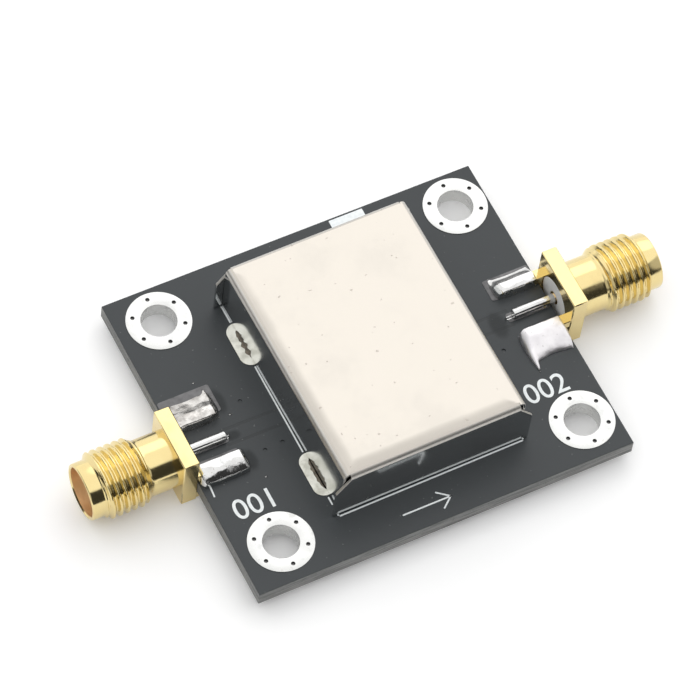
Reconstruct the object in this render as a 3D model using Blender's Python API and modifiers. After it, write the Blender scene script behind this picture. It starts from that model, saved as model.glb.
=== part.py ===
"""LC band-pass filter on a small circuit board, with a threaded edge jack at each end and a shield can.

Metres, +Z up. X runs from the input jack to the output jack and Y to the back edge of the board. The
origin is the middle of the underside: the square flanges of the two jacks stand on Z = 0.
"""
import math

import bmesh
import bpy
from mathutils import Matrix, Vector

MM = 0.001

# How close pieces lie: bare seats, and the free play of the jack's legs and pin over the board
SEAT_GAP = 0.02 * MM
LEG_PLAY = 0.05 * MM

# Circuit board
BOARD_LENGTH = 37.2 * MM
BOARD_WIDTH = 32.0 * MM
BOARD_THICKNESS = 1.6 * MM
FOIL_THICKNESS = 0.05 * MM
VIA_DIAMETER = 0.4 * MM

# Plated mounting holes, whose pattern sits a little off the middle of the board
HOLE_INSET_X = 3.6 * MM
HOLE_INSET_Y = 3.7 * MM
HOLE_SHIFT_X = 0.45 * MM
HOLE_SHIFT_Y = 0.25 * MM
HOLE_DIAMETER = 3.3 * MM
RING_DIAMETER = 6.0 * MM
RING_VIA_CIRCLE = 4.75 * MM
RING_VIA_COUNT = 6

# Ground vias beside the tracks, measured from the middle of the board
TRACK_VIAS = ((-11.57 * MM, 2.16 * MM), (-11.72 * MM, -3.22 * MM), (-9.96 * MM, -3.1 * MM),
              (12.37 * MM, -2.82 * MM))

# Edge jack: a square flange, a shank, a threaded barrel and a plain collar, turned and milled in one
FLANGE_SIDE = 6.35 * MM
FLANGE_THICKNESS = 1.5 * MM
FLANGE_CHAMFER = 0.08 * MM
JACK_LENGTH = 9.9 * MM
SHANK_DIAMETER = 5.3 * MM
THREAD_DIAMETER = 6.35 * MM
THREAD_START = 4.3 * MM
THREAD_LENGTH = 4.3 * MM
THREAD_CHAMFER = 0.3 * MM
COLLAR_CHAMFER = 0.12 * MM
MOUTH_DIAMETER = 4.6 * MM
MOUTH_DEPTH = 1.9 * MM
INSULATOR_DIAMETER = 4.1 * MM
LEG_WIDTH = 1.0 * MM
LEG_HEIGHT = 0.95 * MM
LEG_LENGTH = 4.2 * MM
LEG_INSET = 0.1 * MM

# Centre contact of the jack: a slotted socket at the mouth and a solder pin over the board
CONTACT_DIAMETER = 1.27 * MM
SOCKET_DIAMETER = 0.95 * MM
SOCKET_DEPTH = 2.6 * MM
SOCKET_SLOT = 0.2 * MM
SOCKET_SLOT_DEPTH = 2.2 * MM
CONTACT_CHAMFER = 0.06 * MM
PIN_DIAMETER = 0.9 * MM
PIN_LENGTH = 4.2 * MM

# Where the two jacks were soldered: their offset along the board's edge and their gap to it
INPUT_SHIFT_Y = -0.7 * MM
OUTPUT_SHIFT_Y = 0.0 * MM
INPUT_EDGE_GAP = 0.03 * MM
OUTPUT_EDGE_GAP = 0.33 * MM

# Shield can, folded from sheet
CAN_LENGTH = 17.9 * MM
CAN_WIDTH = 23.5 * MM
CAN_HEIGHT = 6.2 * MM
CAN_SHIFT_X = 0.3 * MM
CAN_SHIFT_Y = 0.2 * MM
SHEET_THICKNESS = 0.25 * MM
BEND_RADIUS = 0.6 * MM
BEND_STEPS = 4
EAR_WIDTH = 0.95 * MM
EAR_DROP = 2.0 * MM

# Tabs of the can and the plated slots that hold them
TAB_INSET = 4.47 * MM
TAB_WIDTH = 3.1 * MM
TAB_REACH = 0.45 * MM
SLOT_LENGTH = 3.6 * MM
SLOT_WIDTH = 1.05 * MM
SLOT_PAD_MARGIN = 0.52 * MM
TAB_SOLDER_HEIGHT = 0.6 * MM

# Solder on the legs: how far each joint flows past the outer side of its leg, and its length. The top joints
# bury their legs, and the bottom ones stop short of the legs' lower faces, which clear the surface below.
TOP_SOLDER = {"input_front": (0.9 * MM, 4.8 * MM), "input_back": (1.9 * MM, 4.8 * MM),
              "output_front": (2.1 * MM, 4.5 * MM), "output_back": (1.3 * MM, 4.4 * MM)}
BOTTOM_SOLDER = (0.8 * MM, 4.5 * MM)
SOLDER_INNER_FLOW = 0.45 * MM
SOLDER_CROWN = 0.42 * MM
BOTTOM_SOLDER_SHORTFALL = 0.15 * MM
SOLDER_CREST_MARGIN = 0.12 * MM
SOLDER_FILLET_SHARE = 0.3
SOLDER_RAMP = 0.5 * MM
SOLDER_EDGE = 0.08 * MM
SOLDER_EDGE_MARGIN = 0.35 * MM
SOLDER_TAPER = 0.62
PIN_SOLDER_LENGTH = 4.3 * MM
PIN_SOLDER_WIDTH = 1.5 * MM
PIN_SOLDER_HEIGHT = 0.5 * MM
PIN_SOLDER_ROUNDING = 0.12 * MM

# Chip parts under the can
CAPACITOR_LENGTH = 2.0 * MM
CAPACITOR_WIDTH = 1.25 * MM
CAPACITOR_HEIGHT = 0.85 * MM
CAPACITOR_CAP_LENGTH = 0.4 * MM
CAPACITOR_CAP_STEP = 0.03 * MM
INDUCTOR_LENGTH = 2.6 * MM
INDUCTOR_WIDTH = 2.0 * MM
INDUCTOR_HEIGHT = 1.8 * MM
INDUCTOR_END_LENGTH = 0.5 * MM
WINDING_DIAMETER = 1.5 * MM
WIRE_DIAMETER = 0.25 * MM
CHIP_WALL_GAP = 0.9 * MM
SHUNT_OFFSET = 3.3 * MM

ROUND_STEPS = 32
SMALL_STEPS = 16
VIA_STEPS = 8
CUT_MARGIN = 0.5 * MM

# Places that follow from the sizes above
AXIS_HEIGHT = FLANGE_SIDE / 2
BOARD_TOP = AXIS_HEIGHT - PIN_DIAMETER / 2 - LEG_PLAY
BOARD_BOTTOM = BOARD_TOP - BOARD_THICKNESS
BOARD_X = (INPUT_EDGE_GAP - OUTPUT_EDGE_GAP) / 2
FOIL_TOP = BOARD_TOP + SEAT_GAP + FOIL_THICKNESS
FOIL_BOTTOM = BOARD_BOTTOM - SEAT_GAP - FOIL_THICKNESS
CAN_FOOT = FOIL_TOP + SEAT_GAP
CAN_TOP = BOARD_TOP + CAN_HEIGHT
CAN_X = BOARD_X + CAN_SHIFT_X
TAB_SPACING = CAN_WIDTH - 2 * TAB_INSET
REFERENCE_PLANE = JACK_LENGTH - MOUTH_DEPTH
SERIES_PITCH = (CAN_LENGTH / 2 - SHEET_THICKNESS - CHIP_WALL_GAP - CAPACITOR_LENGTH / 2) / 2

FINISHES = {
    "black_mask": ((0.075, 0.083, 0.08), 0.42, 0.0),
    "tinned_foil": ((0.86, 0.87, 0.86), 0.3, 0.9),
    "can_sheet": ((0.8, 0.77, 0.72), 0.24, 1.0),
    "gold_plate": ((0.9, 0.68, 0.3), 0.2, 1.0),
    "white_insulator": ((0.88, 0.87, 0.84), 0.5, 0.0),
    "solder": ((0.74, 0.75, 0.76), 0.18, 1.0),
    "capacitor_ceramic": ((0.5, 0.36, 0.24), 0.45, 0.0),
    "inductor_winding": ((0.62, 0.28, 0.14), 0.35, 0.4),
}


def clear_scene():
    """Removes every object that the scene holds."""
    for item in list(bpy.data.objects):
        bpy.data.objects.remove(item, do_unlink=True)


def new_collection(name):
    """A collection of that name, linked to the scene."""
    collection = bpy.data.collections.new(name)
    bpy.context.scene.collection.children.link(collection)
    return collection


def finish(name):
    """The material of one finish, made the first time that it is asked for."""
    material = bpy.data.materials.get(name)
    if material is None:
        colour, roughness, metallic = FINISHES[name]
        material = bpy.data.materials.new(name)
        material.use_nodes = True
        shader = material.node_tree.nodes["Principled BSDF"]
        shader.inputs["Base Color"].default_value = (*colour, 1.0)
        shader.inputs["Roughness"].default_value = roughness
        shader.inputs["Metallic"].default_value = metallic
    return material


def add_object(name, mesh, collection, material=None):
    """An object for the mesh in the collection, with its material."""
    item = bpy.data.objects.new(name, mesh)
    collection.objects.link(item)
    if material:
        mesh.materials.append(finish(material))
    return item


def mesh_from(name, bm):
    """The mesh that a bmesh holds, which is freed."""
    mesh = bpy.data.meshes.new(name)
    bm.to_mesh(mesh)
    bm.free()
    return mesh


def box_bmesh(low, high):
    """A cube primitive stretched between two corners."""
    bm = bmesh.new()
    bmesh.ops.create_cube(bm, size=1.0)
    size = Vector(high) - Vector(low)
    bmesh.ops.scale(bm, vec=size, verts=bm.verts)
    bmesh.ops.translate(bm, vec=(Vector(low) + Vector(high)) / 2, verts=bm.verts)
    return bm


def box(name, low, high, collection, material=None):
    """A box between two corners."""
    return add_object(name, mesh_from(name, box_bmesh(low, high)), collection, material)


def slot_bmesh(length, width, low, high, steps=SMALL_STEPS):
    """An upright prism with round ends: a circle parted along Y and drawn up from low to high."""
    bm = bmesh.new()
    turn = Matrix.Rotation(math.pi / steps, 4, "Z")
    bmesh.ops.create_circle(bm, cap_ends=True, segments=steps, radius=width / 2, matrix=turn)
    reach = (length - width) / 2
    for vert in bm.verts:
        vert.co.y += math.copysign(reach, vert.co.y)
        vert.co.z = low
    drawn = bmesh.ops.extrude_face_region(bm, geom=bm.faces[:])
    lifted = [item for item in drawn["geom"] if isinstance(item, bmesh.types.BMVert)]
    bmesh.ops.translate(bm, vec=(0, 0, high - low), verts=lifted)
    bmesh.ops.recalc_face_normals(bm, faces=bm.faces)
    return bm


def turned(name, profile, collection, material=None, steps=ROUND_STEPS, closed=False):
    """A shape turned about its own Z axis from (radius, height) points that run down its outer side."""
    count = len(profile)
    edges = [(index, (index + 1) % count) for index in range(count if closed else count - 1)]
    mesh = bpy.data.meshes.new(name)
    mesh.from_pydata([(radius, 0.0, height) for radius, height in profile], edges, [])
    item = add_object(name, mesh, collection, material)
    turn = item.modifiers.new("turn", "SCREW")
    turn.steps = turn.render_steps = steps
    turn.use_merge_vertices = True
    turn.merge_threshold = 1e-6
    return item


def cylinder_bmesh(bm, radius, low, high, centre, steps):
    """Adds an upright cylinder to a bmesh."""
    place = Matrix.Translation((centre[0], centre[1], (low + high) / 2))
    bmesh.ops.create_cone(bm, cap_ends=True, segments=steps, radius1=radius, radius2=radius,
                          depth=high - low, matrix=place)


def as_cutter(item):
    """Marks an object that only shapes others."""
    item.hide_render = True
    item.display_type = "WIRE"
    return item


def combine(item, other, operation):
    """Adds a Boolean of the other object to the item."""
    step = item.modifiers.new(operation.lower() + "_" + other.name, "BOOLEAN")
    step.operation = operation
    step.object = other
    return item


def round_edges(item, width, segments=2):
    """Rounds the sharp edges of an object."""
    step = item.modifiers.new("rounded_edges", "BEVEL")
    step.width = width
    step.segments = segments
    step.limit_method = "ANGLE"
    step.angle_limit = math.radians(30)
    return item


def evaluated_mesh(item):
    """The mesh that an object's modifiers give, as a mesh of its own."""
    bpy.context.view_layer.update()
    graph = bpy.context.evaluated_depsgraph_get()
    return bpy.data.meshes.new_from_object(item.evaluated_get(graph))


def hole_places():
    """The name and centre of each mounting hole."""
    x_mid, y_mid = BOARD_X + HOLE_SHIFT_X, HOLE_SHIFT_Y
    x_reach, y_reach = BOARD_LENGTH / 2 - HOLE_INSET_X, BOARD_WIDTH / 2 - HOLE_INSET_Y
    for row, y_sign in (("front", -1), ("back", 1)):
        for side, x_sign in (("left", -1), ("right", 1)):
            yield f"{row}_{side}", x_mid + x_sign * x_reach, y_mid + y_sign * y_reach


def slot_places():
    """The name and centre of each slot for a tab of the can, on the outer face of its side wall."""
    for row, y_sign in (("front", -1), ("back", 1)):
        for side, x_sign in (("left", -1), ("right", 1)):
            yield f"{row}_{side}", CAN_X + x_sign * CAN_LENGTH / 2, y_sign * TAB_SPACING / 2


def ring_via_places(x_mid, y_mid):
    """The centres of the small vias round one mounting hole."""
    for index in range(RING_VIA_COUNT):
        angle = 2 * math.pi * (index + 0.5) / RING_VIA_COUNT
        yield (x_mid + math.cos(angle) * RING_VIA_CIRCLE / 2, y_mid + math.sin(angle) * RING_VIA_CIRCLE / 2)


def build_board(parts, cutters):
    """The board, drilled for its mounting holes and vias and routed for the tabs of the can."""
    bm = bmesh.new()
    low, high = BOARD_BOTTOM - CUT_MARGIN, BOARD_TOP + CUT_MARGIN
    drilled = HOLE_DIAMETER / 2 + FOIL_THICKNESS + SEAT_GAP
    for _, x_mid, y_mid in hole_places():
        cylinder_bmesh(bm, drilled, low, high, (x_mid, y_mid), ROUND_STEPS)
        for centre in ring_via_places(x_mid, y_mid):
            cylinder_bmesh(bm, VIA_DIAMETER / 2, low, high, centre, VIA_STEPS)
    for x_mid, y_mid in TRACK_VIAS:
        cylinder_bmesh(bm, VIA_DIAMETER / 2, low, high, (BOARD_X + x_mid, y_mid), VIA_STEPS)
    drill = add_object("board_drill", mesh_from("board_drill", bm), cutters)

    growth = 2 * (FOIL_THICKNESS + SEAT_GAP)
    router = add_object("board_router", bpy.data.meshes.new("board_router"), cutters)
    bm = bmesh.new()
    for _, x_mid, y_mid in slot_places():
        shape = slot_bmesh(SLOT_LENGTH + growth, SLOT_WIDTH + growth, low, high)
        bmesh.ops.translate(shape, vec=(x_mid, y_mid, 0), verts=shape.verts)
        piece = mesh_from("slot_piece", shape)
        bm.from_mesh(piece)
        bpy.data.meshes.remove(piece)
    bm.to_mesh(router.data)
    bm.free()

    board = box("circuit_board",
                (BOARD_X - BOARD_LENGTH / 2, -BOARD_WIDTH / 2, BOARD_BOTTOM),
                (BOARD_X + BOARD_LENGTH / 2, BOARD_WIDTH / 2, BOARD_TOP), parts, "black_mask")
    combine(board, as_cutter(drill), "DIFFERENCE")
    combine(board, as_cutter(router), "DIFFERENCE")
    return board


def build_hole_rings(parts, cutters):
    """The tinned ring of each mounting hole: a land on both faces, joined by the plated wall."""
    bore, rim = HOLE_DIAMETER / 2, RING_DIAMETER / 2
    wall = bore + FOIL_THICKNESS
    profile = [(bore, FOIL_TOP), (rim, FOIL_TOP), (rim, BOARD_TOP + SEAT_GAP), (wall, BOARD_TOP + SEAT_GAP),
               (wall, BOARD_BOTTOM - SEAT_GAP), (rim, BOARD_BOTTOM - SEAT_GAP), (rim, FOIL_BOTTOM),
               (bore, FOIL_BOTTOM)]
    pattern = turned("ring_pattern", profile, cutters, "tinned_foil", closed=True)
    bm = bmesh.new()
    for centre in ring_via_places(0.0, 0.0):
        cylinder_bmesh(bm, VIA_DIAMETER / 2, FOIL_BOTTOM - CUT_MARGIN, FOIL_TOP + CUT_MARGIN, centre, VIA_STEPS)
    drill = as_cutter(add_object("ring_drill", mesh_from("ring_drill", bm), cutters))
    combine(as_cutter(pattern), drill, "DIFFERENCE")
    mesh = evaluated_mesh(pattern)
    for name, x_mid, y_mid in hole_places():
        ring = bpy.data.objects.new("hole_ring_" + name, mesh)
        ring.location = (x_mid, y_mid, 0)
        parts.objects.link(ring)


def build_slot_sleeves(parts, cutters):
    """The plated sleeve of each slot: an oval land on both faces, joined by the plated wall."""
    def solid(name, length, width, low, high):
        return add_object(name, mesh_from(name, slot_bmesh(length, width, low, high)), cutters)

    pad_length, pad_width = SLOT_LENGTH + 2 * SLOT_PAD_MARGIN, SLOT_WIDTH + 2 * SLOT_PAD_MARGIN
    wall_length, wall_width = SLOT_LENGTH + 2 * FOIL_THICKNESS, SLOT_WIDTH + 2 * FOIL_THICKNESS
    middle = (FOIL_TOP + FOIL_BOTTOM) / 2
    pattern = solid("sleeve_pattern", wall_length, wall_width,
                    FOIL_BOTTOM + FOIL_THICKNESS / 2, FOIL_TOP - FOIL_THICKNESS / 2)
    pattern.data.materials.append(finish("tinned_foil"))
    lands = ((BOARD_TOP + SEAT_GAP, FOIL_TOP), (FOIL_BOTTOM, BOARD_BOTTOM - SEAT_GAP))
    for low, high in lands:
        face = "top" if low > middle else "bottom"
        land = as_cutter(solid("sleeve_land_" + face, pad_length, pad_width, low, high))
        combine(pattern, land, "UNION")
    opening = solid("sleeve_opening", SLOT_LENGTH, SLOT_WIDTH, FOIL_BOTTOM - CUT_MARGIN, FOIL_TOP + CUT_MARGIN)
    combine(as_cutter(pattern), as_cutter(opening), "DIFFERENCE")
    mesh = evaluated_mesh(pattern)
    for name, x_mid, y_mid in slot_places():
        sleeve = bpy.data.objects.new("slot_sleeve_" + name, mesh)
        sleeve.location = (x_mid, y_mid, 0)
        parts.objects.link(sleeve)


def folded_wall(bm, edge, outward, drop):
    """Bends the sheet down over one edge of the top and draws the wall from it; gives the foot's edge."""
    middle = (edge.verts[0].co + edge.verts[1].co) / 2
    centre = middle - Vector((0, 0, BEND_RADIUS))
    axis = outward.cross(Vector((0, 0, -1)))
    bend = bmesh.ops.spin(bm, geom=[edge, *edge.verts], cent=centre, axis=axis, angle=math.pi / 2,
                          steps=BEND_STEPS)
    last = [item for item in bend["geom_last"] if isinstance(item, bmesh.types.BMEdge)]
    wall = bmesh.ops.extrude_edge_only(bm, edges=last)
    verts = [item for item in wall["geom"] if isinstance(item, bmesh.types.BMVert)]
    bmesh.ops.translate(bm, vec=(0, 0, -drop), verts=verts)


def border_edges(bm, test):
    """The open edges of the sheet whose two ends both pass the test."""
    return [edge for edge in bm.edges if edge.is_boundary and all(test(vert.co) for vert in edge.verts)]


def widen_end_wall(bm, y_sign, x_sign):
    """Draws the ear of an end wall past the side wall, with its upper edge cut off slantwise."""
    near = 1e-6
    x_edge = x_sign * (CAN_LENGTH / 2 - BEND_RADIUS)
    y_wall = y_sign * CAN_WIDTH / 2
    edges = border_edges(bm, lambda co: abs(co.x - x_edge) < near and abs(co.y - y_wall) < near)
    drawn = bmesh.ops.extrude_edge_only(bm, edges=edges)
    verts = [item for item in drawn["geom"] if isinstance(item, bmesh.types.BMVert)]
    bmesh.ops.translate(bm, vec=(x_sign * (BEND_RADIUS + EAR_WIDTH), 0, 0), verts=verts)
    upper = max(verts, key=lambda vert: vert.co.z)
    upper.co.z -= EAR_DROP


def draw_tabs(bm):
    """Draws the tabs of the side walls down through the board."""
    near = 1e-6
    for y_sign in (-1, 1):
        y_tab = y_sign * TAB_SPACING / 2 - CAN_SHIFT_Y
        for y_cut in (y_tab - TAB_WIDTH / 2, y_tab + TAB_WIDTH / 2):
            whole = bm.verts[:] + bm.edges[:] + bm.faces[:]
            bmesh.ops.bisect_plane(bm, geom=whole, dist=near, plane_co=(0, y_cut, 0), plane_no=(0, 1, 0))
    foot = []
    for y_sign in (-1, 1):
        y_tab = y_sign * TAB_SPACING / 2 - CAN_SHIFT_Y
        foot += border_edges(bm, lambda co: abs(co.z - CAN_FOOT) < near and abs(abs(co.x) - CAN_LENGTH / 2) < near
                             and abs(co.y - y_tab) < TAB_WIDTH / 2 + near)
    drawn = bmesh.ops.extrude_edge_only(bm, edges=foot)
    verts = [item for item in drawn["geom"] if isinstance(item, bmesh.types.BMVert)]
    bmesh.ops.translate(bm, vec=(0, 0, FOIL_BOTTOM - TAB_REACH - CAN_FOOT), verts=verts)


def build_can(parts):
    """The shield can: one sheet folded down on four sides, with ears on the end walls and four tabs."""
    flat_x, flat_y = CAN_LENGTH / 2 - BEND_RADIUS, CAN_WIDTH / 2 - BEND_RADIUS
    bm = bmesh.new()
    bmesh.ops.create_grid(bm, x_segments=1, y_segments=1, size=1.0)
    bmesh.ops.scale(bm, vec=(flat_x, flat_y, 1.0), verts=bm.verts)
    bmesh.ops.translate(bm, vec=(0, 0, CAN_TOP), verts=bm.verts)
    drop = CAN_TOP - BEND_RADIUS - CAN_FOOT
    for edge in bm.edges[:]:
        middle = (edge.verts[0].co + edge.verts[1].co) / 2
        outward = Vector((middle.x, middle.y, 0)).normalized()
        folded_wall(bm, edge, outward, drop)
    for y_sign in (-1, 1):
        for x_sign in (-1, 1):
            widen_end_wall(bm, y_sign, x_sign)
    draw_tabs(bm)
    bmesh.ops.recalc_face_normals(bm, faces=bm.faces)
    top = max(bm.faces, key=lambda face: face.calc_center_median().z)
    if top.normal.z < 0:
        bmesh.ops.reverse_faces(bm, faces=bm.faces)
    can = add_object("shield_can", mesh_from("shield_can", bm), parts, "can_sheet")
    can.location = (CAN_X, CAN_SHIFT_Y, 0)
    sheet = can.modifiers.new("sheet", "SOLIDIFY")
    sheet.thickness = SHEET_THICKNESS
    sheet.offset = -1.0
    sheet.use_even_offset = True


def leg_box(y_sign, upper, grown=0.0):
    """The two corners of a leg in the jack's own frame, where -X is up and +Z is out of the board."""
    y_outer = FLANGE_SIDE / 2 - LEG_INSET
    y_inner = y_outer - LEG_WIDTH
    board_top = AXIS_HEIGHT - BOARD_TOP
    board_bottom = AXIS_HEIGHT - BOARD_BOTTOM
    if upper:
        x_low, x_high = board_top - LEG_PLAY - LEG_HEIGHT, board_top - LEG_PLAY
    else:
        x_low, x_high = board_bottom + LEG_PLAY, board_bottom + LEG_PLAY + LEG_HEIGHT
    y_pair = sorted((y_sign * y_inner, y_sign * y_outer))
    return ((x_low - grown, y_pair[0] - grown, -LEG_LENGTH - grown),
            (x_high + grown, y_pair[1] + grown, FLANGE_THICKNESS / 3))


def jack_body_mesh(cutters):
    """The body of a jack in its own frame: barrel, flange and legs joined, then bored."""
    shank, thread = SHANK_DIAMETER / 2, THREAD_DIAMETER / 2
    thread_end = THREAD_START + THREAD_LENGTH
    inside = FLANGE_THICKNESS / 2
    profile = [(0.0, JACK_LENGTH), (shank - COLLAR_CHAMFER, JACK_LENGTH), (shank, JACK_LENGTH - COLLAR_CHAMFER),
               (shank, thread_end), (thread - THREAD_CHAMFER, thread_end), (thread, thread_end - THREAD_CHAMFER),
               (thread, THREAD_START + THREAD_CHAMFER), (thread - THREAD_CHAMFER, THREAD_START),
               (shank, THREAD_START), (shank, inside), (0.0, inside)]
    body = turned("jack_pattern", profile, cutters, "gold_plate")
    half = FLANGE_SIDE / 2
    flange = as_cutter(box("flange_pattern", (-half, -half, 0), (half, half, FLANGE_THICKNESS), cutters))
    combine(body, round_edges(flange, FLANGE_CHAMFER, segments=1), "UNION")
    for name, y_sign, upper in (("front_upper", -1, True), ("back_upper", 1, True),
                                ("front_lower", -1, False), ("back_lower", 1, False)):
        leg = as_cutter(box("leg_" + name, *leg_box(y_sign, upper), cutters))
        combine(body, leg, "UNION")
    mouth, bore = MOUTH_DIAMETER / 2, INSULATOR_DIAMETER / 2
    beyond = JACK_LENGTH + CUT_MARGIN
    cut = [(0.0, beyond), (mouth, beyond), (mouth, REFERENCE_PLANE), (bore, REFERENCE_PLANE),
           (bore, -CUT_MARGIN), (0.0, -CUT_MARGIN)]
    combine(as_cutter(body), as_cutter(turned("bore_cutter", cut, cutters)), "DIFFERENCE")
    return evaluated_mesh(body)


def insulator_mesh(cutters):
    """The insulator bead that carries the contact inside the body."""
    outer = INSULATOR_DIAMETER / 2 - SEAT_GAP
    inner = CONTACT_DIAMETER / 2 + SEAT_GAP
    profile = [(inner, REFERENCE_PLANE), (outer, REFERENCE_PLANE), (outer, 0.0), (inner, 0.0)]
    bead = as_cutter(turned("insulator_pattern", profile, cutters, "white_insulator", closed=True))
    return evaluated_mesh(bead)


def contact_mesh(cutters):
    """The centre contact: a socket slotted crosswise at the mouth, a rod and a solder pin."""
    rod, socket, pin = CONTACT_DIAMETER / 2, SOCKET_DIAMETER / 2, PIN_DIAMETER / 2
    profile = [(0.0, REFERENCE_PLANE - SOCKET_DEPTH), (socket, REFERENCE_PLANE - SOCKET_DEPTH),
               (socket, REFERENCE_PLANE), (rod - CONTACT_CHAMFER, REFERENCE_PLANE),
               (rod, REFERENCE_PLANE - CONTACT_CHAMFER), (rod, 0.0), (pin, 0.0),
               (pin, CONTACT_CHAMFER - PIN_LENGTH), (pin - CONTACT_CHAMFER, -PIN_LENGTH), (0.0, -PIN_LENGTH)]
    contact = turned("contact_pattern", profile, cutters, "gold_plate", steps=SMALL_STEPS)
    low, high = REFERENCE_PLANE - SOCKET_SLOT_DEPTH, REFERENCE_PLANE + CUT_MARGIN
    slit, reach = SOCKET_SLOT / 2, CONTACT_DIAMETER
    across = as_cutter(box("slot_across", (-reach, -slit, low), (reach, slit, high), cutters))
    along = as_cutter(box("slot_along", (-slit, -reach, low), (slit, reach, high), cutters))
    combine(contact, across, "DIFFERENCE")
    combine(as_cutter(contact), along, "DIFFERENCE")
    return evaluated_mesh(contact)


def jack_frames():
    """The name, outward direction and frame of each jack, whose origin is on the board side of its flange."""
    half = BOARD_LENGTH / 2
    lay_down = Matrix.Rotation(math.pi / 2, 4, "Y")
    turn_round = Matrix.Rotation(math.pi, 4, "Z")
    input_place = Matrix.Translation((BOARD_X - half - INPUT_EDGE_GAP, INPUT_SHIFT_Y, AXIS_HEIGHT))
    output_place = Matrix.Translation((BOARD_X + half + OUTPUT_EDGE_GAP, OUTPUT_SHIFT_Y, AXIS_HEIGHT))
    yield "input", -1, input_place @ turn_round @ lay_down
    yield "output", 1, output_place @ lay_down


def build_jacks(parts, cutters):
    """The body, insulator and contact of both jacks, each on an empty at its flange."""
    pieces = (("jack_body", jack_body_mesh(cutters)), ("jack_insulator", insulator_mesh(cutters)),
              ("jack_contact", contact_mesh(cutters)))
    for name, _, frame in jack_frames():
        carrier = bpy.data.objects.new(name + "_jack", None)
        parts.objects.link(carrier)
        carrier.matrix_world = frame
        for piece, mesh in pieces:
            item = bpy.data.objects.new(f"{name}_{piece}", mesh)
            parts.objects.link(item)
            item.parent = carrier


def mound(name, low, high, parts):
    """A low solder mound: a box that narrows upwards, with rounded edges."""
    bm = box_bmesh(low, high)
    middle = Vector((low[0] + high[0], low[1] + high[1], 0)) / 2
    for vert in bm.verts:
        if abs(vert.co.z - high[2]) < 1e-7:
            vert.co.x = middle.x + (vert.co.x - middle.x) * (1 + SOLDER_TAPER) / 2
            vert.co.y = middle.y + (vert.co.y - middle.y) * SOLDER_TAPER
    item = add_object(name, mesh_from(name, bm), parts, "solder")
    return round_edges(item, PIN_SOLDER_ROUNDING)


def flowed_joint(name, x_pair, y_stations, z_foot, z_crest, parts):
    """Solder flowed over a leg: a slab cut along and across, raised to its crest and smoothed.

    The stations across run from the foot on the pin's side over the crest and the fillet to the outer foot.
    """
    _, crest_inner, crest_outer, fillet, _ = y_stations
    near = 1e-7
    z_edge = z_foot + math.copysign(SOLDER_EDGE, z_crest - z_foot)
    bm = box_bmesh((x_pair[0], min(y_stations), min(z_foot, z_edge)),
                   (x_pair[1], max(y_stations), max(z_foot, z_edge)))
    cuts = [((0, y_cut, 0), (0, 1, 0)) for y_cut in y_stations[1:-1]]
    cuts += [((x_cut, 0, 0), (1, 0, 0)) for x_cut in (x_pair[0] + SOLDER_RAMP, x_pair[1] - SOLDER_RAMP)]
    for place, normal in cuts:
        whole = bm.verts[:] + bm.edges[:] + bm.faces[:]
        bmesh.ops.bisect_plane(bm, geom=whole, dist=near, plane_co=place, plane_no=normal)
    crease = bm.edges.layers.float.new("crease_edge")
    for edge in bm.edges:
        rim = any(abs(face.normal.z) < 0.5 for face in edge.link_faces)
        if rim and all(abs(vert.co.z - z_foot) < near for vert in edge.verts):
            edge[crease] = 1.0
    for vert in bm.verts:
        inside = x_pair[0] + near < vert.co.x < x_pair[1] - near
        if abs(vert.co.z - z_edge) < near and inside:
            if min(abs(vert.co.y - crest_inner), abs(vert.co.y - crest_outer)) < near:
                vert.co.z = z_crest
            elif abs(vert.co.y - fillet) < near:
                vert.co.z = z_foot + (z_crest - z_foot) * SOLDER_FILLET_SHARE
    item = add_object(name, mesh_from(name, bm), parts, "solder")
    smooth = item.modifiers.new("smooth", "SUBSURF")
    smooth.levels = smooth.render_levels = 1
    return item


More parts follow.
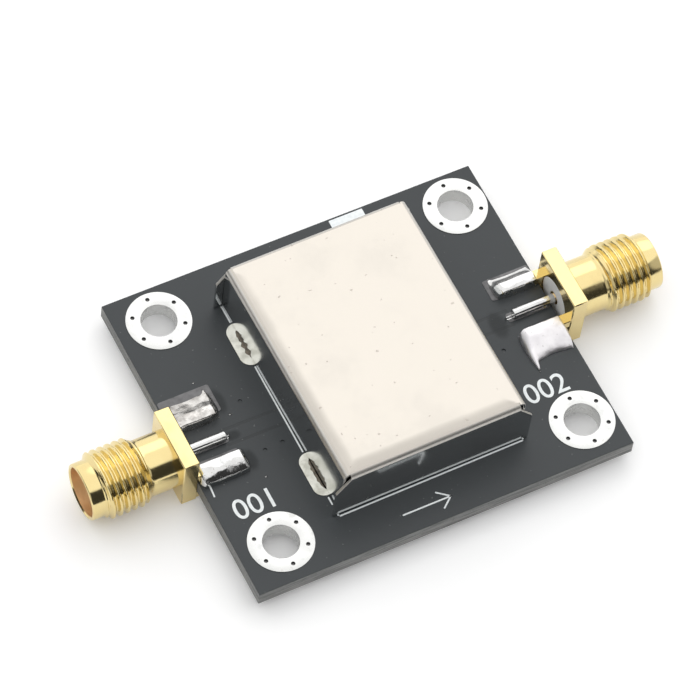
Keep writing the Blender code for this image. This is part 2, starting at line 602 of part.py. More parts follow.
def build_jack_solder(parts, cutters):
    """The solder joints of both jacks: over the legs on both faces of the board, and along the pin."""
    for name, outward, frame in jack_frames():
        y_axis = frame.translation.y
        start = BOARD_X + outward * (BOARD_LENGTH / 2 - SOLDER_EDGE_MARGIN)
        for row, y_sign in (("front", -1), ("back", 1)):
            for face, upper in (("top", True), ("bottom", False)):
                flow, length = TOP_SOLDER[f"{name}_{row}"] if upper else BOTTOM_SOLDER
                leg_outer = FLANGE_SIDE / 2 - LEG_INSET
                leg_inner = leg_outer - LEG_WIDTH
                offsets = (leg_inner - SOLDER_INNER_FLOW, leg_inner - SOLDER_CREST_MARGIN,
                           leg_outer + SOLDER_CREST_MARGIN, leg_outer + flow / 2, leg_outer + flow)
                y_stations = [y_axis + y_sign * offset for offset in offsets]
                rise = LEG_PLAY + LEG_HEIGHT + (SOLDER_CROWN if upper else -BOTTOM_SOLDER_SHORTFALL)
                z_foot = BOARD_TOP + SEAT_GAP if upper else BOARD_BOTTOM - SEAT_GAP
                z_crest = BOARD_TOP + rise if upper else BOARD_BOTTOM - rise
                joint = flowed_joint(f"{name}_solder_{row}_{face}", sorted((start, start - outward * length)),
                                     y_stations, z_foot, z_crest, parts)
                turned_sign = y_sign * outward
                leg = box(f"{name}_leg_space_{row}_{face}", *leg_box(turned_sign, upper, SEAT_GAP), cutters)
                leg.matrix_world = frame
                combine(joint, as_cutter(leg), "DIFFERENCE")
        x_pair = sorted((start, start - outward * PIN_SOLDER_LENGTH))
        seam = mound(f"{name}_solder_pin", (x_pair[0], y_axis - PIN_SOLDER_WIDTH / 2, BOARD_TOP + SEAT_GAP),
                     (x_pair[1], y_axis + PIN_SOLDER_WIDTH / 2, BOARD_TOP + SEAT_GAP + PIN_SOLDER_HEIGHT), parts)
        bm = bmesh.new()
        cylinder_bmesh(bm, PIN_DIAMETER / 2 + SEAT_GAP, -PIN_LENGTH - SEAT_GAP, CUT_MARGIN, (0, 0), SMALL_STEPS)
        pin = add_object(f"{name}_pin_space", mesh_from("pin_space", bm), cutters)
        pin.matrix_world = frame
        combine(seam, as_cutter(pin), "DIFFERENCE")


def build_tab_solder(parts, cutters):
    """The solder round the end of each tab, on the underside of the board."""
    length, width = SLOT_LENGTH + SLOT_PAD_MARGIN, SLOT_WIDTH + SLOT_PAD_MARGIN
    for name, x_mid, y_mid in slot_places():
        bm = slot_bmesh(length, width, FOIL_BOTTOM - SEAT_GAP - TAB_SOLDER_HEIGHT, FOIL_BOTTOM - SEAT_GAP)
        lowest = min(vert.co.z for vert in bm.verts)
        for vert in bm.verts:
            if vert.co.z < lowest + 1e-7:
                vert.co.x *= SOLDER_TAPER
                vert.co.y *= (1 + SOLDER_TAPER) / 2
        joint = add_object("tab_solder_" + name, mesh_from("tab_solder", bm), parts, "solder")
        joint.location = (x_mid, y_mid, 0)
        inward = math.copysign(1.0, CAN_X - x_mid)
        faces = sorted((x_mid - inward * SEAT_GAP, x_mid + inward * (SHEET_THICKNESS + SEAT_GAP)))
        half = TAB_WIDTH / 2 + SEAT_GAP
        space = box("tab_space_" + name, (faces[0], y_mid - half, FOIL_BOTTOM - TAB_REACH - SEAT_GAP),
                    (faces[1], y_mid + half, BOARD_TOP), cutters)
        combine(joint, as_cutter(space), "DIFFERENCE")


def capacitor_mesh():
    """A chip capacitor: a ceramic block whose plated ends stand a little proud."""
    half = Vector((CAPACITOR_LENGTH, CAPACITOR_WIDTH, CAPACITOR_HEIGHT)) / 2
    bm = box_bmesh(-half, half)
    for x_cut in (-half.x + CAPACITOR_CAP_LENGTH, half.x - CAPACITOR_CAP_LENGTH):
        whole = bm.verts[:] + bm.edges[:] + bm.faces[:]
        bmesh.ops.bisect_plane(bm, geom=whole, dist=1e-7, plane_co=(x_cut, 0, 0), plane_no=(1, 0, 0))
    ends = [face for face in bm.faces
            if abs(face.calc_center_median().x) > half.x - CAPACITOR_CAP_LENGTH and abs(face.normal.x) < 0.5]
    for side in (-1, 1):
        band = [face for face in ends if face.calc_center_median().x * side > 0]
        bmesh.ops.inset_region(bm, faces=band, thickness=0.0, depth=CAPACITOR_CAP_STEP, use_even_offset=True)
    bmesh.ops.remove_doubles(bm, verts=bm.verts, dist=1e-8)
    return mesh_from("capacitor", bm)


def inductor_parts(name, place, turned_quarter, parts, cutters):
    """A wound chip inductor: a close coil between two square ends, joined in one solid."""
    core = INDUCTOR_LENGTH / 2 - INDUCTOR_END_LENGTH
    turns = int(2 * core / WIRE_DIAMETER)
    radius = WINDING_DIAMETER / 2
    profile = [(0.0, core + INDUCTOR_END_LENGTH / 2), (radius - WIRE_DIAMETER / 2, core + INDUCTOR_END_LENGTH / 2)]
    for index in range(turns):
        top = core - index * WIRE_DIAMETER
        profile += [(radius - WIRE_DIAMETER / 2, top), (radius, top - WIRE_DIAMETER / 2)]
    profile += [(radius - WIRE_DIAMETER / 2, core - turns * WIRE_DIAMETER),
                (radius - WIRE_DIAMETER / 2, -core - INDUCTOR_END_LENGTH / 2),
                (0.0, -core - INDUCTOR_END_LENGTH / 2)]
    coil = turned(name, profile, parts, "inductor_winding", steps=12)
    half_y, half_z = INDUCTOR_WIDTH / 2, INDUCTOR_HEIGHT / 2
    frame = Matrix.Translation(place) @ Matrix.Rotation(turned_quarter * math.pi / 2, 4, "Z")
    coil.matrix_world = frame @ Matrix.Rotation(math.pi / 2, 4, "Y")
    for side, x_sign in (("first", -1), ("second", 1)):
        x_pair = sorted((x_sign * core, x_sign * INDUCTOR_LENGTH / 2))
        end = box(f"{name}_{side}_end", (x_pair[0], -half_y, -half_z), (x_pair[1], half_y, half_z), cutters)
        end.matrix_world = frame
        combine(coil, as_cutter(end), "UNION")


def build_chips(parts, cutters):
    """The filter's chips on the board under the can: a series row and shunt pairs beside it."""
    mesh = capacitor_mesh()
    mesh.materials.append(finish("capacitor_ceramic"))
    z_capacitor = BOARD_TOP + SEAT_GAP + CAPACITOR_HEIGHT / 2 + CAPACITOR_CAP_STEP
    z_inductor = BOARD_TOP + SEAT_GAP + INDUCTOR_HEIGHT / 2
    capacitors = [(-2 * SERIES_PITCH, 0.0, 0), (0.0, 0.0, 0), (2 * SERIES_PITCH, 0.0, 0),
                  (-SERIES_PITCH, -SHUNT_OFFSET, 1), (SERIES_PITCH, -SHUNT_OFFSET, 1)]
    inductors = [(-SERIES_PITCH, 0.0, 0), (SERIES_PITCH, 0.0, 0),
                 (-SERIES_PITCH, SHUNT_OFFSET, 1), (SERIES_PITCH, SHUNT_OFFSET, 1)]
    for index, (x_mid, y_mid, quarter) in enumerate(capacitors, start=1):
        chip = bpy.data.objects.new(f"capacitor_{index}", mesh)
        parts.objects.link(chip)
        chip.matrix_world = (Matrix.Translation((CAN_X + x_mid, y_mid, z_capacitor))
                             @ Matrix.Rotation(quarter * math.pi / 2, 4, "Z"))
    for index, (x_mid, y_mid, quarter) in enumerate(inductors, start=1):
        inductor_parts(f"inductor_{index}", (CAN_X + x_mid, y_mid, z_inductor), quarter, parts, cutters)


def shade_round_pieces(parts):
    """Shades every piece smooth over its shallow edges."""
    for mesh in {item.data for item in parts.objects if item.type == "MESH"}:
        mesh.shade_smooth()
        mesh.set_sharp_from_angle(angle=math.radians(35))


def main():
    """Builds the filter."""
    clear_scene()
    parts = new_collection("lc_bandpass_filter")
    cutters = new_collection("cutters")
    build_board(parts, cutters)
    build_hole_rings(parts, cutters)
    build_slot_sleeves(parts, cutters)
    build_can(parts)
    build_jacks(parts, cutters)
    build_jack_solder(parts, cutters)
    build_tab_solder(parts, cutters)
    build_chips(parts, cutters)
    shade_round_pieces(parts)


main()
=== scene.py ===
"""Looks of the LC band-pass filter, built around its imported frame.

Metres, +Z up, in the frame of the CAD model: X runs from the input jack to the output jack, Y to the back
edge of the board, and the two square flanges stand on Z = 0.
"""
from __future__ import annotations

import logging
import math
from dataclasses import dataclass, field
from enum import Enum
from typing import Callable, Iterator, Sequence

import bmesh
import bpy
from mathutils import Matrix, Vector, noise

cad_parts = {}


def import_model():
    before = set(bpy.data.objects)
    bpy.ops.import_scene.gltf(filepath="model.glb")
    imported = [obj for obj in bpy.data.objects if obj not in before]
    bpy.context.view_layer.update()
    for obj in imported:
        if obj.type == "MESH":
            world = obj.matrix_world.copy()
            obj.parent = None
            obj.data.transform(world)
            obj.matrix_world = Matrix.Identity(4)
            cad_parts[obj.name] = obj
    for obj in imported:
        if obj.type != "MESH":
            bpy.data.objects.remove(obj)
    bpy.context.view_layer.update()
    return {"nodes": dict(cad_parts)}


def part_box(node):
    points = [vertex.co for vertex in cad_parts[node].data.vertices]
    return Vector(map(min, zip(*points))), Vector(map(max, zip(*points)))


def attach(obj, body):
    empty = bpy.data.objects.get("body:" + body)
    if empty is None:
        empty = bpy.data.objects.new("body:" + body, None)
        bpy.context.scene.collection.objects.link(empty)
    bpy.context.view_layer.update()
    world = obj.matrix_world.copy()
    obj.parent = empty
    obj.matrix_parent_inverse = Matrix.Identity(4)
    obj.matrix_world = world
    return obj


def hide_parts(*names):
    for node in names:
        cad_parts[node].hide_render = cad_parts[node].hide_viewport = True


MM = 0.001
NEAR = 1e-7  # two places nearer than this count as one
FOIL = 0.05 * MM  # the tinned copper on either face of the board
SEAT_GAP = 0.02 * MM  # the gap that touching pieces keep
CUT_PLAY = 0.01 * MM  # how far a cutter clears the piece that it makes room for
ROUND_STEPS = 96  # stretches in a full turn
VIA_STEPS = 20  # stretches in a full turn of a via
BODY = "root"
LOG = logging.getLogger("filter")

Colour = tuple[float, float, float]
Point = tuple[float, float, float]
Pair = tuple[float, float]
Piece = bpy.types.Object
Material = bpy.types.Material
Socket = bpy.types.NodeSocket


class Slot(Enum):
    """The record's material slots."""

    BOARD = "solder_mask_board"
    FOIL = "tinned_foil"
    CAN = "can_sheet"
    GOLD = "gold_plate"
    INSULATOR = "white_insulator"
    SOLDER = "solder"
    CAPACITOR = "capacitor_ceramic"
    WINDING = "inductor_winding"


class Flow(Enum):
    """How a solder joint set: bright and flowed, satin, or dull and grey."""

    BRIGHT = "bright"
    SATIN = "satin"
    DULL = "dull"


class Pick(Enum):
    """What an edit-mode selection is made of."""

    FACES = "FACE"
    EDGES = "EDGE"
    VERTS = "VERT"


# Modelling by hand


def deselect_all() -> None:
    """Leaves nothing selected."""
    for item in list(bpy.context.selected_objects):
        item.select_set(False)


def make_active(item: Piece) -> None:
    """Selects one object alone and makes it the active one."""
    deselect_all()
    item.select_set(True)
    bpy.context.view_layer.objects.active = item


def primitive(name: str, operator: Callable[..., set], **settings: object) -> Piece:
    """Adds a primitive with an operator.

    Args:
        name: The new object's name.
        operator: One of Blender's primitive operators.
        settings: The operator's own settings, with its size and place.

    Returns:
        The new object.
    """
    deselect_all()
    operator(**settings)
    return rename(bpy.context.active_object, name)


class EditMode:
    """Edit mode on one object, for the length of a with block."""

    def __init__(self, item: Piece) -> None:
        """Keeps the object to edit."""
        self.item = item

    def __enter__(self) -> "EditMode":
        """Enters edit mode with nothing selected.

        Returns:
            This block's own tools.
        """
        make_active(self.item)
        bpy.ops.object.mode_set(mode="EDIT")
        bpy.ops.mesh.select_all(action="DESELECT")
        return self

    def __exit__(self, *problem: object) -> None:
        """Goes back to object mode."""
        bpy.ops.object.mode_set(mode="OBJECT")

    def select(self, pick: Pick, test: Callable[[object], bool]) -> int:
        """Selects the elements that pass a test, and nothing else.

        Args:
            pick: Faces, edges or vertices.
            test: Takes a bmesh element and says whether it is selected.

        Returns:
            How many elements were selected.
        """
        bpy.ops.mesh.select_mode(type=pick.value)
        bpy.ops.mesh.select_all(action="DESELECT")
        shape = bmesh.from_edit_mesh(self.item.data)
        members = {Pick.FACES: shape.faces, Pick.EDGES: shape.edges, Pick.VERTS: shape.verts}[pick]
        chosen = [member for member in members if test(member)]
        for member in chosen:
            member.select_set(True)
        shape.select_flush_mode()
        bmesh.update_edit_mesh(self.item.data)
        return len(chosen)

    def move(self, offset: Sequence[float]) -> None:
        """Moves the selection."""
        bpy.ops.transform.translate(value=tuple(offset))

    def extrude(self, offset: Sequence[float]) -> None:
        """Extrudes the selection and moves the new part."""
        bpy.ops.mesh.extrude_region_move(TRANSFORM_OT_translate={"value": tuple(offset)})

    def scale(self, factors: Point, about: Sequence[float]) -> None:
        """Scales the selection about a place."""
        bpy.ops.transform.resize(value=factors, center_override=tuple(about))

    def cut(self, place: Sequence[float], normal: Point, **settings: bool) -> None:
        """Cuts the whole mesh along a plane, with the bisect operator's own settings."""
        bpy.ops.mesh.select_all(action="SELECT")
        bpy.ops.mesh.bisect(plane_co=tuple(place), plane_no=normal, **settings)

    def mend_normals(self) -> None:
        """Merges doubles and turns every face outwards."""
        bpy.ops.mesh.select_all(action="SELECT")
        bpy.ops.mesh.remove_doubles(threshold=NEAR)
        bpy.ops.mesh.normals_make_consistent(inside=False)


def apply_modifier(item: Piece, kind: str, **settings: object) -> Piece:
    """Adds a modifier to an object and applies it.

    Args:
        item: The object.
        kind: The modifier's type.
        settings: The modifier's own settings.

    Returns:
        The same object.
    """
    step = item.modifiers.new(kind.lower(), kind)
    for key, value in settings.items():
        setattr(step, key, value)
    make_active(item)
    bpy.ops.object.modifier_apply(modifier=step.name)
    return item


def soften(item: Piece, width: float, segments: int = 2, angle: float = 40.0) -> Piece:
    """Bevels an object's sharp edges by a width."""
    return apply_modifier(item, "BEVEL", width=width, segments=segments, limit_method="ANGLE",
                          angle_limit=math.radians(angle), harden_normals=False)


def combine(item: Piece, other: Piece, operation: str) -> Piece:
    """Joins or cuts an object with another, which is then removed.

    Args:
        item: The object that stays.
        other: The object that is used up.
        operation: UNION, DIFFERENCE or INTERSECT.

    Returns:
        The object that stays.
    """
    apply_modifier(item, "BOOLEAN", object=other, operation=operation)
    bpy.data.objects.remove(other, do_unlink=True)
    return item


def rename(item: Piece, name: str) -> Piece:
    """Names an object and its mesh."""
    item.name = item.data.name = name
    return item


def join(items: Sequence[Piece]) -> Piece:
    """Joins several objects into one.

    Args:
        items: The objects, of which the first stays.

    Returns:
        The first object.
    """
    make_active(items[0])
    for item in items[1:]:
        item.select_set(True)
    bpy.ops.object.join()
    return items[0]


def settle(item: Piece) -> Piece:
    """Puts an object's place, turn and scale into its mesh."""
    make_active(item)
    bpy.ops.object.transform_apply(location=True, rotation=True, scale=True)
    return item


def place_mesh(item: Piece, matrix: Matrix) -> Piece:
    """Moves an object's mesh by a matrix, with the object left at the origin."""
    item.data.transform(matrix)
    item.data.update()
    return item


def copy_of(item: Piece, name: str) -> Piece:
    """Copies an object, its mesh included.

    Args:
        item: The object to copy.
        name: The copy's name.

    Returns:
        The copy, linked to the scene.
    """
    twin = item.copy()
    twin.data = item.data.copy()
    bpy.context.scene.collection.objects.link(twin)
    return rename(twin, name)


def shade(item: Piece, angle: float = 35.0) -> Piece:
    """Shades an object smooth over its shallow edges."""
    make_active(item)
    bpy.ops.object.shade_smooth_by_angle(angle=math.radians(angle))
    return item


def keep_flats(item: Piece) -> Piece:
    """Turns the smooth normals towards the large faces, so that flats stay flat beside soft edges."""
    return apply_modifier(item, "WEIGHTED_NORMAL", keep_sharp=True, weight=60)


def dress(item: Piece, *materials: Material) -> Piece:
    """Gives an object its materials, in place of any it has.

    Args:
        item: The object.
        materials: The materials, in the order of their indices.

    Returns:
        The same object.
    """
    item.data.materials.clear()
    for material in materials:
        item.data.materials.append(material)
    return item


def paint_faces(item: Piece, index: int, test: Callable[[bpy.types.MeshPolygon], bool]) -> None:
    """Gives some faces another of the object's materials.

    Args:
        item: The object.
        index: The material's index.
        test: Takes a face and says whether it gets that material.
    """
    for face in item.data.polygons:
        if test(face):
            face.material_index = index


def mount(item: Piece, slot: Slot | None, *nodes: str) -> Piece:
    """Lets a finished piece ride on the body and stand for CAD nodes.

    Args:
        item: The piece.
        slot: The record's material slot, if it has one; it is not used.
        nodes: The CAD nodes that it replaces.

    Returns:
        The piece.
    """
    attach(item, BODY)
    if nodes:
        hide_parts(*nodes)
    LOG.info("%s: %d faces", item.name, len(item.data.polygons))
    return item


def cube(name: str, low: Sequence[float], high: Sequence[float]) -> Piece:
    """Makes a box from a cube primitive.

    Args:
        name: The object's name.
        low: The corner with the lowest coordinates.
        high: The corner with the highest ones.

    Returns:
        The box, settled.
    """
    size = [top - bottom for bottom, top in zip(low, high)]
    middle = [(top + bottom) / 2 for bottom, top in zip(low, high)]
    item = primitive(name, bpy.ops.mesh.primitive_cube_add, size=1.0, location=middle, scale=size)
    return settle(item)


def cylinder(name: str, radius: float, low: float, high: float, centre: Sequence[float],
             vertices: int = ROUND_STEPS) -> Piece:
    """Makes an upright cylinder.

    Args:
        name: The object's name.
        radius: Its radius.
        low: The height of its foot.
        high: The height of its head.
        centre: The X and Y of its axis.
        vertices: How many stretches its rim has.

    Returns:
        The cylinder, settled.
    """
    place = (centre[0], centre[1], (low + high) / 2)
    return settle(primitive(name, bpy.ops.mesh.primitive_cylinder_add, vertices=vertices, radius=radius,
                            depth=high - low, location=place))


def oval(name: str, length: float, width: float, low: float, high: float, centre: Sequence[float],
         vertices: int = 48) -> Piece:
    """Makes an upright prism with round ends, drawn out along Y from a cylinder.

    Args:
        name: The object's name.
        length: Its size along Y.
        width: Its size along X.
        low: The height of its foot.
        high: The height of its head.
        centre: The X and Y of its middle.
        vertices: How many stretches its two round ends have together.

    Returns:
        The prism.
    """
    item = cylinder(name, width / 2, low, high, (0, 0), vertices)
    reach = (length - width) / 2
    with EditMode(item) as edit:
        for side in (-1, 1):
            edit.select(Pick.VERTS, lambda vert: vert.co.y * side > NEAR)
            edit.move((0, side * reach, 0))
    return place_mesh(item, Matrix.Translation((centre[0], centre[1], 0)))


def round_corners(slab: Piece, height: float, radius: float, segments: int) -> None:
    """Rounds the upright edges of a slab.

    Args:
        slab: The slab.
        height: Its thickness.
        radius: The radius of its corners, seen from above.
        segments: How many stretches each corner has.
    """
    with EditMode(slab) as edit:
        edit.select(Pick.EDGES, lambda side: abs(side.verts[0].co.z - side.verts[1].co.z) > height / 2)
        bpy.ops.mesh.bevel(offset=radius, segments=segments)


@dataclass(frozen=True)
class Corner:
    """A corner of a turned profile: its radius from the axis, its height and its rounding."""

    r: float
    z: float
    rounding: float = 0.0


def rounded_outline(corners: Sequence[Corner], closed: bool, steps: int = 4) -> list[Vector]:
    """The points of a profile whose corners are rounded by short curves.

    Args:
        corners: The corners, in order.
        closed: Whether the last corner joins the first.
        steps: How many stretches each rounding has.

    Returns:
        Points in the XZ plane.
    """
    points: list[Vector] = []
    count = len(corners)
    for index, corner in enumerate(corners):
        here = Vector((corner.r, 0, corner.z))
        open_end = not closed and index in (0, count - 1)
        if corner.rounding == 0 or open_end:
            points.append(here)
            continue
        before = corners[index - 1]
        after = corners[(index + 1) % count]
        back = (Vector((before.r, 0, before.z)) - here).normalized() * corner.rounding
        ahead = (Vector((after.r, 0, after.z)) - here).normalized() * corner.rounding
        for step in range(steps + 1):
            share = step / steps
            points.append(here + back * (1 - share) ** 2 + ahead * share ** 2)
    return points


def turned(name: str, outline: Sequence[Vector], closed: bool, steps: int = ROUND_STEPS) -> Piece:
    """A shape turned about the Z axis with the spin operator.

    Args:
        name: The object's name.
        outline: Points in the XZ plane.
        closed: Whether the last point joins the first.
        steps: How many stretches the full turn has.

    Returns:
        The turned object, closed and facing outwards.
    """
    mesh = bpy.data.meshes.new(name)
    count = len(outline)
    edges = [(index, (index + 1) % count) for index in range(count if closed else count - 1)]
    mesh.from_pydata([tuple(point) for point in outline], edges, [])
    item = bpy.data.objects.new(name, mesh)
    bpy.context.scene.collection.objects.link(item)
    with EditMode(item) as edit:
        bpy.ops.mesh.select_all(action="SELECT")
        bpy.ops.mesh.spin(steps=steps, angle=2 * math.pi, center=(0, 0, 0), axis=(0, 0, 1))
        edit.mend_normals()
    return item


def box_of(node: str) -> tuple[Vector, Vector]:
    """The lowest and highest corner of a CAD node."""
    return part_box(node)


def centre_of(node: str) -> Vector:
    """The middle of a CAD node's box."""
    low, high = box_of(node)
    return (low + high) / 2


# Shader maths


class Value:
    """A socket of a node graph that takes part in plain expressions."""

    def __init__(self, graph: "Graph", socket: Socket) -> None:
        """Keeps the graph and the socket."""
        self.graph = graph
        self.socket = socket

    def _math(self, operation: str, *inputs: "Value | float") -> "Value":
        """Adds a Math node.

        Args:
            operation: The node's operation.
            inputs: Its inputs, in order.

        Returns:
            The node's result.
        """
        node = self.graph.node("ShaderNodeMath", {"operation": operation}, {})
        for socket, item in zip(node.inputs, inputs):
            self.graph.feed(socket, item)
        return Value(self.graph, node.outputs[0])

    def __add__(self, other: "Value | float") -> "Value":
        """Sum."""
        return self._math("ADD", self, other)

    __radd__ = __add__

    def __sub__(self, other: "Value | float") -> "Value":
        """Difference."""
        return self._math("SUBTRACT", self, other)

    def __rsub__(self, other: float) -> "Value":
        """Difference from a number."""
        return self._math("SUBTRACT", other, self)

    def __mul__(self, other: "Value | float") -> "Value":
        """Product."""
        return self._math("MULTIPLY", self, other)

    __rmul__ = __mul__

    def __abs__(self) -> "Value":
        """Size without sign."""
        return self._math("ABSOLUTE", self)

    def most(self, other: "Value | float") -> "Value":
        """The larger of two values."""
        return self._math("MAXIMUM", self, other)

    def step(self, low: float, high: float) -> "Value":
        """A smooth step, which falls where low is above high.

        Args:
            low: Where the step is 0.
            high: Where the step is 1.

        Returns:
            The step, from 0 to 1.
        """
        inputs = {"Value": self, "From Min": min(low, high), "From Max": max(low, high),
                  "To Min": 0.0 if low < high else 1.0, "To Max": 1.0 if low < high else 0.0}
        node = self.graph.node("ShaderNodeMapRange", {"interpolation_type": "SMOOTHSTEP"}, inputs)
        return Value(self.graph, node.outputs["Result"])

    def between(self, low: float, high: float, soft: float) -> "Value":
        """1 between two bounds and 0 beyond them, with soft sides."""
        return self.step(low - soft, low + soft) * self.step(high + soft, high - soft)


class Graph:
    """The nodes of one material or of the world."""

    COLOUR_FACTOR, COLOUR_A, COLOUR_B, COLOUR_RESULT = 0, 6, 7, 2

    def __init__(self, tree: bpy.types.NodeTree) -> None:
        """Keeps an emptied node tree."""
        self.tree = tree
        tree.nodes.clear()

    def feed(self, socket: Socket, item: object) -> None:
        """Links a value or a socket to a socket, or sets a plain value on it."""
        if isinstance(item, Value):
            self.tree.links.new(item.socket, socket)
        elif isinstance(item, Socket):
            self.tree.links.new(item, socket)
        elif isinstance(item, tuple) and len(item) == 3 and socket.type == "RGBA":
            socket.default_value = (*item, 1.0)
        else:
            socket.default_value = item

    def node(self, kind: str, settings: dict[str, object], inputs: dict[str, object]) -> bpy.types.Node:
        """Adds a node.

        Args:
            kind: The node's type.
            settings: Its own settings, set first.
            inputs: The values or links of its sockets, by name.

        Returns:
            The node.
        """
        made = self.tree.nodes.new(kind)
        for key, value in settings.items():
            setattr(made, key, value)
        for key, value in inputs.items():
            self.feed(made.inputs[key], value)
        return made

    def place(self) -> tuple[Value, Value, Value]:
        """The three Object coordinates of the shaded point, in metres."""
        coordinates = self.node("ShaderNodeTexCoord", {}, {})
        parts = self.node("ShaderNodeSeparateXYZ", {}, {"Vector": coordinates.outputs["Object"]})
        return tuple(Value(self, parts.outputs[axis]) for axis in "XYZ")

    def point(self, x: object, y: object, z: object) -> Socket:
        """A vector from three values or numbers."""
        return self.node("ShaderNodeCombineXYZ", {}, {"X": x, "Y": y, "Z": z}).outputs[0]

    def speckle(self, scale: float, detail: float = 2.0, vector: Socket | None = None,
                roughness: float = 0.5) -> Value:
        """Noise over the surface.

        Args:
            scale: How many patches there are to the metre.
            detail: How many finer layers the noise has.
            vector: Other coordinates than the object's own, if any.
            roughness: How strong the finer layers are.

        Returns:
            The noise, from 0 to 1.
        """
        if vector is None:
            vector = self.node("ShaderNodeTexCoord", {}, {}).outputs["Object"]
        inputs = {"Vector": vector, "Scale": scale, "Detail": detail, "Roughness": roughness}
        return Value(self, self.node("ShaderNodeTexNoise", {}, inputs).outputs["Fac"])

    def mix(self, factor: object, first: object, second: object) -> Socket:
        """A colour between two.

        Args:
            factor: 0 for the first colour and 1 for the second.
            first: The first colour.
            second: The second colour.

        Returns:
            The mixed colour.
        """
        made = self.node("ShaderNodeMix", {"data_type": "RGBA", "clamp_factor": True}, {})
        self.feed(made.inputs[self.COLOUR_FACTOR], factor)
        self.feed(made.inputs[self.COLOUR_A], first)
        self.feed(made.inputs[self.COLOUR_B], second)
        return made.outputs[self.COLOUR_RESULT]

    def bump(self, height: Value, distance: float, strength: float = 1.0,
             under: Socket | None = None) -> Socket:
        """A bumped normal.

        Args:
            height: The relief, from 0 to 1.
            distance: How high 1 stands, in metres.
            strength: How much of the relief shows.
            under: A coarser bumped normal below it, if any.

        Returns:
            The normal.
        """
        inputs = {"Height": height, "Distance": distance, "Strength": strength}
        if under is not None:
            inputs["Normal"] = under
        return self.node("ShaderNodeBump", {}, inputs).outputs["Normal"]

    def surface(self, colour: object, roughness: object, metallic: object,
                normal: Socket | None = None, **plain: float) -> None:
        """Adds the principled shader and the material's output.

        Args:
            colour: Base colour, plain or linked.
            roughness: Roughness, plain or linked.
            metallic: Metallic, plain or linked.
            normal: A bumped normal, if any.
            plain: Other sockets that take one plain number, with underscores for spaces.
        """
        inputs = {"Base Color": colour, "Roughness": roughness, "Metallic": metallic}
        if normal is not None:
            inputs["Normal"] = normal
        inputs.update({key.replace("_", " "): value for key, value in plain.items()})
        shader = self.node("ShaderNodeBsdfPrincipled", {}, inputs)
        self.node("ShaderNodeOutputMaterial", {}, {"Surface": shader.outputs[0]})


def new_material(name: str) -> tuple[Material, Graph]:
    """A new material and its empty graph."""
    material = bpy.data.materials.new(name)
    material.use_nodes = True
    return material, Graph(material.node_tree)


# Finishes


@dataclass(frozen=True)
class MaskFinish:
    """Satin charcoal solder mask over the copper, which shows as a faint relief."""

    colour: Colour = (0.0315, 0.0365, 0.0395)
    bare_colour: Colour = (0.018, 0.021, 0.022)
    roughness: float = 0.36
    sheen: float = 0.42
    cloud_scale: float = 260.0
    grain_scale: float = 5200.0
    dust_scale: float = 2600.0
    ripple_scale: float = 1300.0
    dust_colour: Colour = (0.16, 0.165, 0.16)
    # Soft dark, rough patches on the mask near the inner ends of the joints: their X, Y and two half sizes.
    dark_patches: tuple[tuple[float, float, float, float], ...] = (
        (-13.55 * MM, 2.9 * MM, 0.75 * MM, 1.5 * MM), (-13.85 * MM, -0.75 * MM, 0.8 * MM, 0.55 * MM),
        (-13.5 * MM, -3.6 * MM, 0.7 * MM, 1.25 * MM), (13.0 * MM, -0.3 * MM, 0.9 * MM, 1.6 * MM))
    track_half: float = 0.62 * MM
    gap: float = 0.32 * MM
    track_reach: Pair = (8.6 * MM, 14.6 * MM)

    def material(self, input_y: float, output_y: float, board_x: float) -> Material:
        """Makes the material.

        Args:
            input_y: Where the input track runs.
            output_y: Where the output track runs.
            board_x: The middle of the board.

        Returns:
            The material.
        """
        material, graph = new_material("solder_mask")
        x, y, _ = graph.place()
        near, far = self.track_reach
        etched = None
        for side, track_y in ((-1, input_y), (1, output_y)):
            across = abs(y - track_y)
            groove = across.between(self.track_half, self.track_half + self.gap, 0.05 * MM)
            groove = groove * (side * (x - board_x)).between(near, far, 0.1 * MM)
            etched = groove if etched is None else etched.most(groove)
        cloud = graph.speckle(self.cloud_scale, 3.0)
        grain = graph.speckle(self.grain_scale, 2.0)
        dust = graph.speckle(self.dust_scale, 1.0).step(0.735, 0.78)
        ripple = graph.speckle(self.ripple_scale, 2.0)
        colour = graph.mix(etched * 0.75, self.colour, self.bare_colour)
        colour = graph.mix(cloud.step(0.25, 0.75) * 0.35, colour, tuple(c * 1.28 for c in self.colour))
        colour = graph.mix(dust * 0.5, colour, self.dust_colour)
        # The patches pull the mask towards its bare colour and roughen it.
        darkened = None
        for spot_x, spot_y, half_x, half_y in self.dark_patches:
            across, along = (x - spot_x) * (1 / half_x), (y - spot_y) * (1 / half_y)
            spot = (across * across + along * along + (grain - 0.5) * 0.5).step(1.25, 0.2)
            darkened = spot if darkened is None else darkened.most(spot)
        colour = graph.mix(darkened * 0.75, colour, self.bare_colour)
        roughness = self.roughness + 0.1 * (cloud - 0.5) + 0.06 * (grain - 0.5) + 0.22 * darkened
        relief = graph.bump((1 - etched) * 0.8 + grain * 0.06 + ripple * 0.12, 0.02 * MM, 0.6)
        graph.surface(colour, roughness, 0.0, relief, Specular_IOR_Level=self.sheen)
        return material


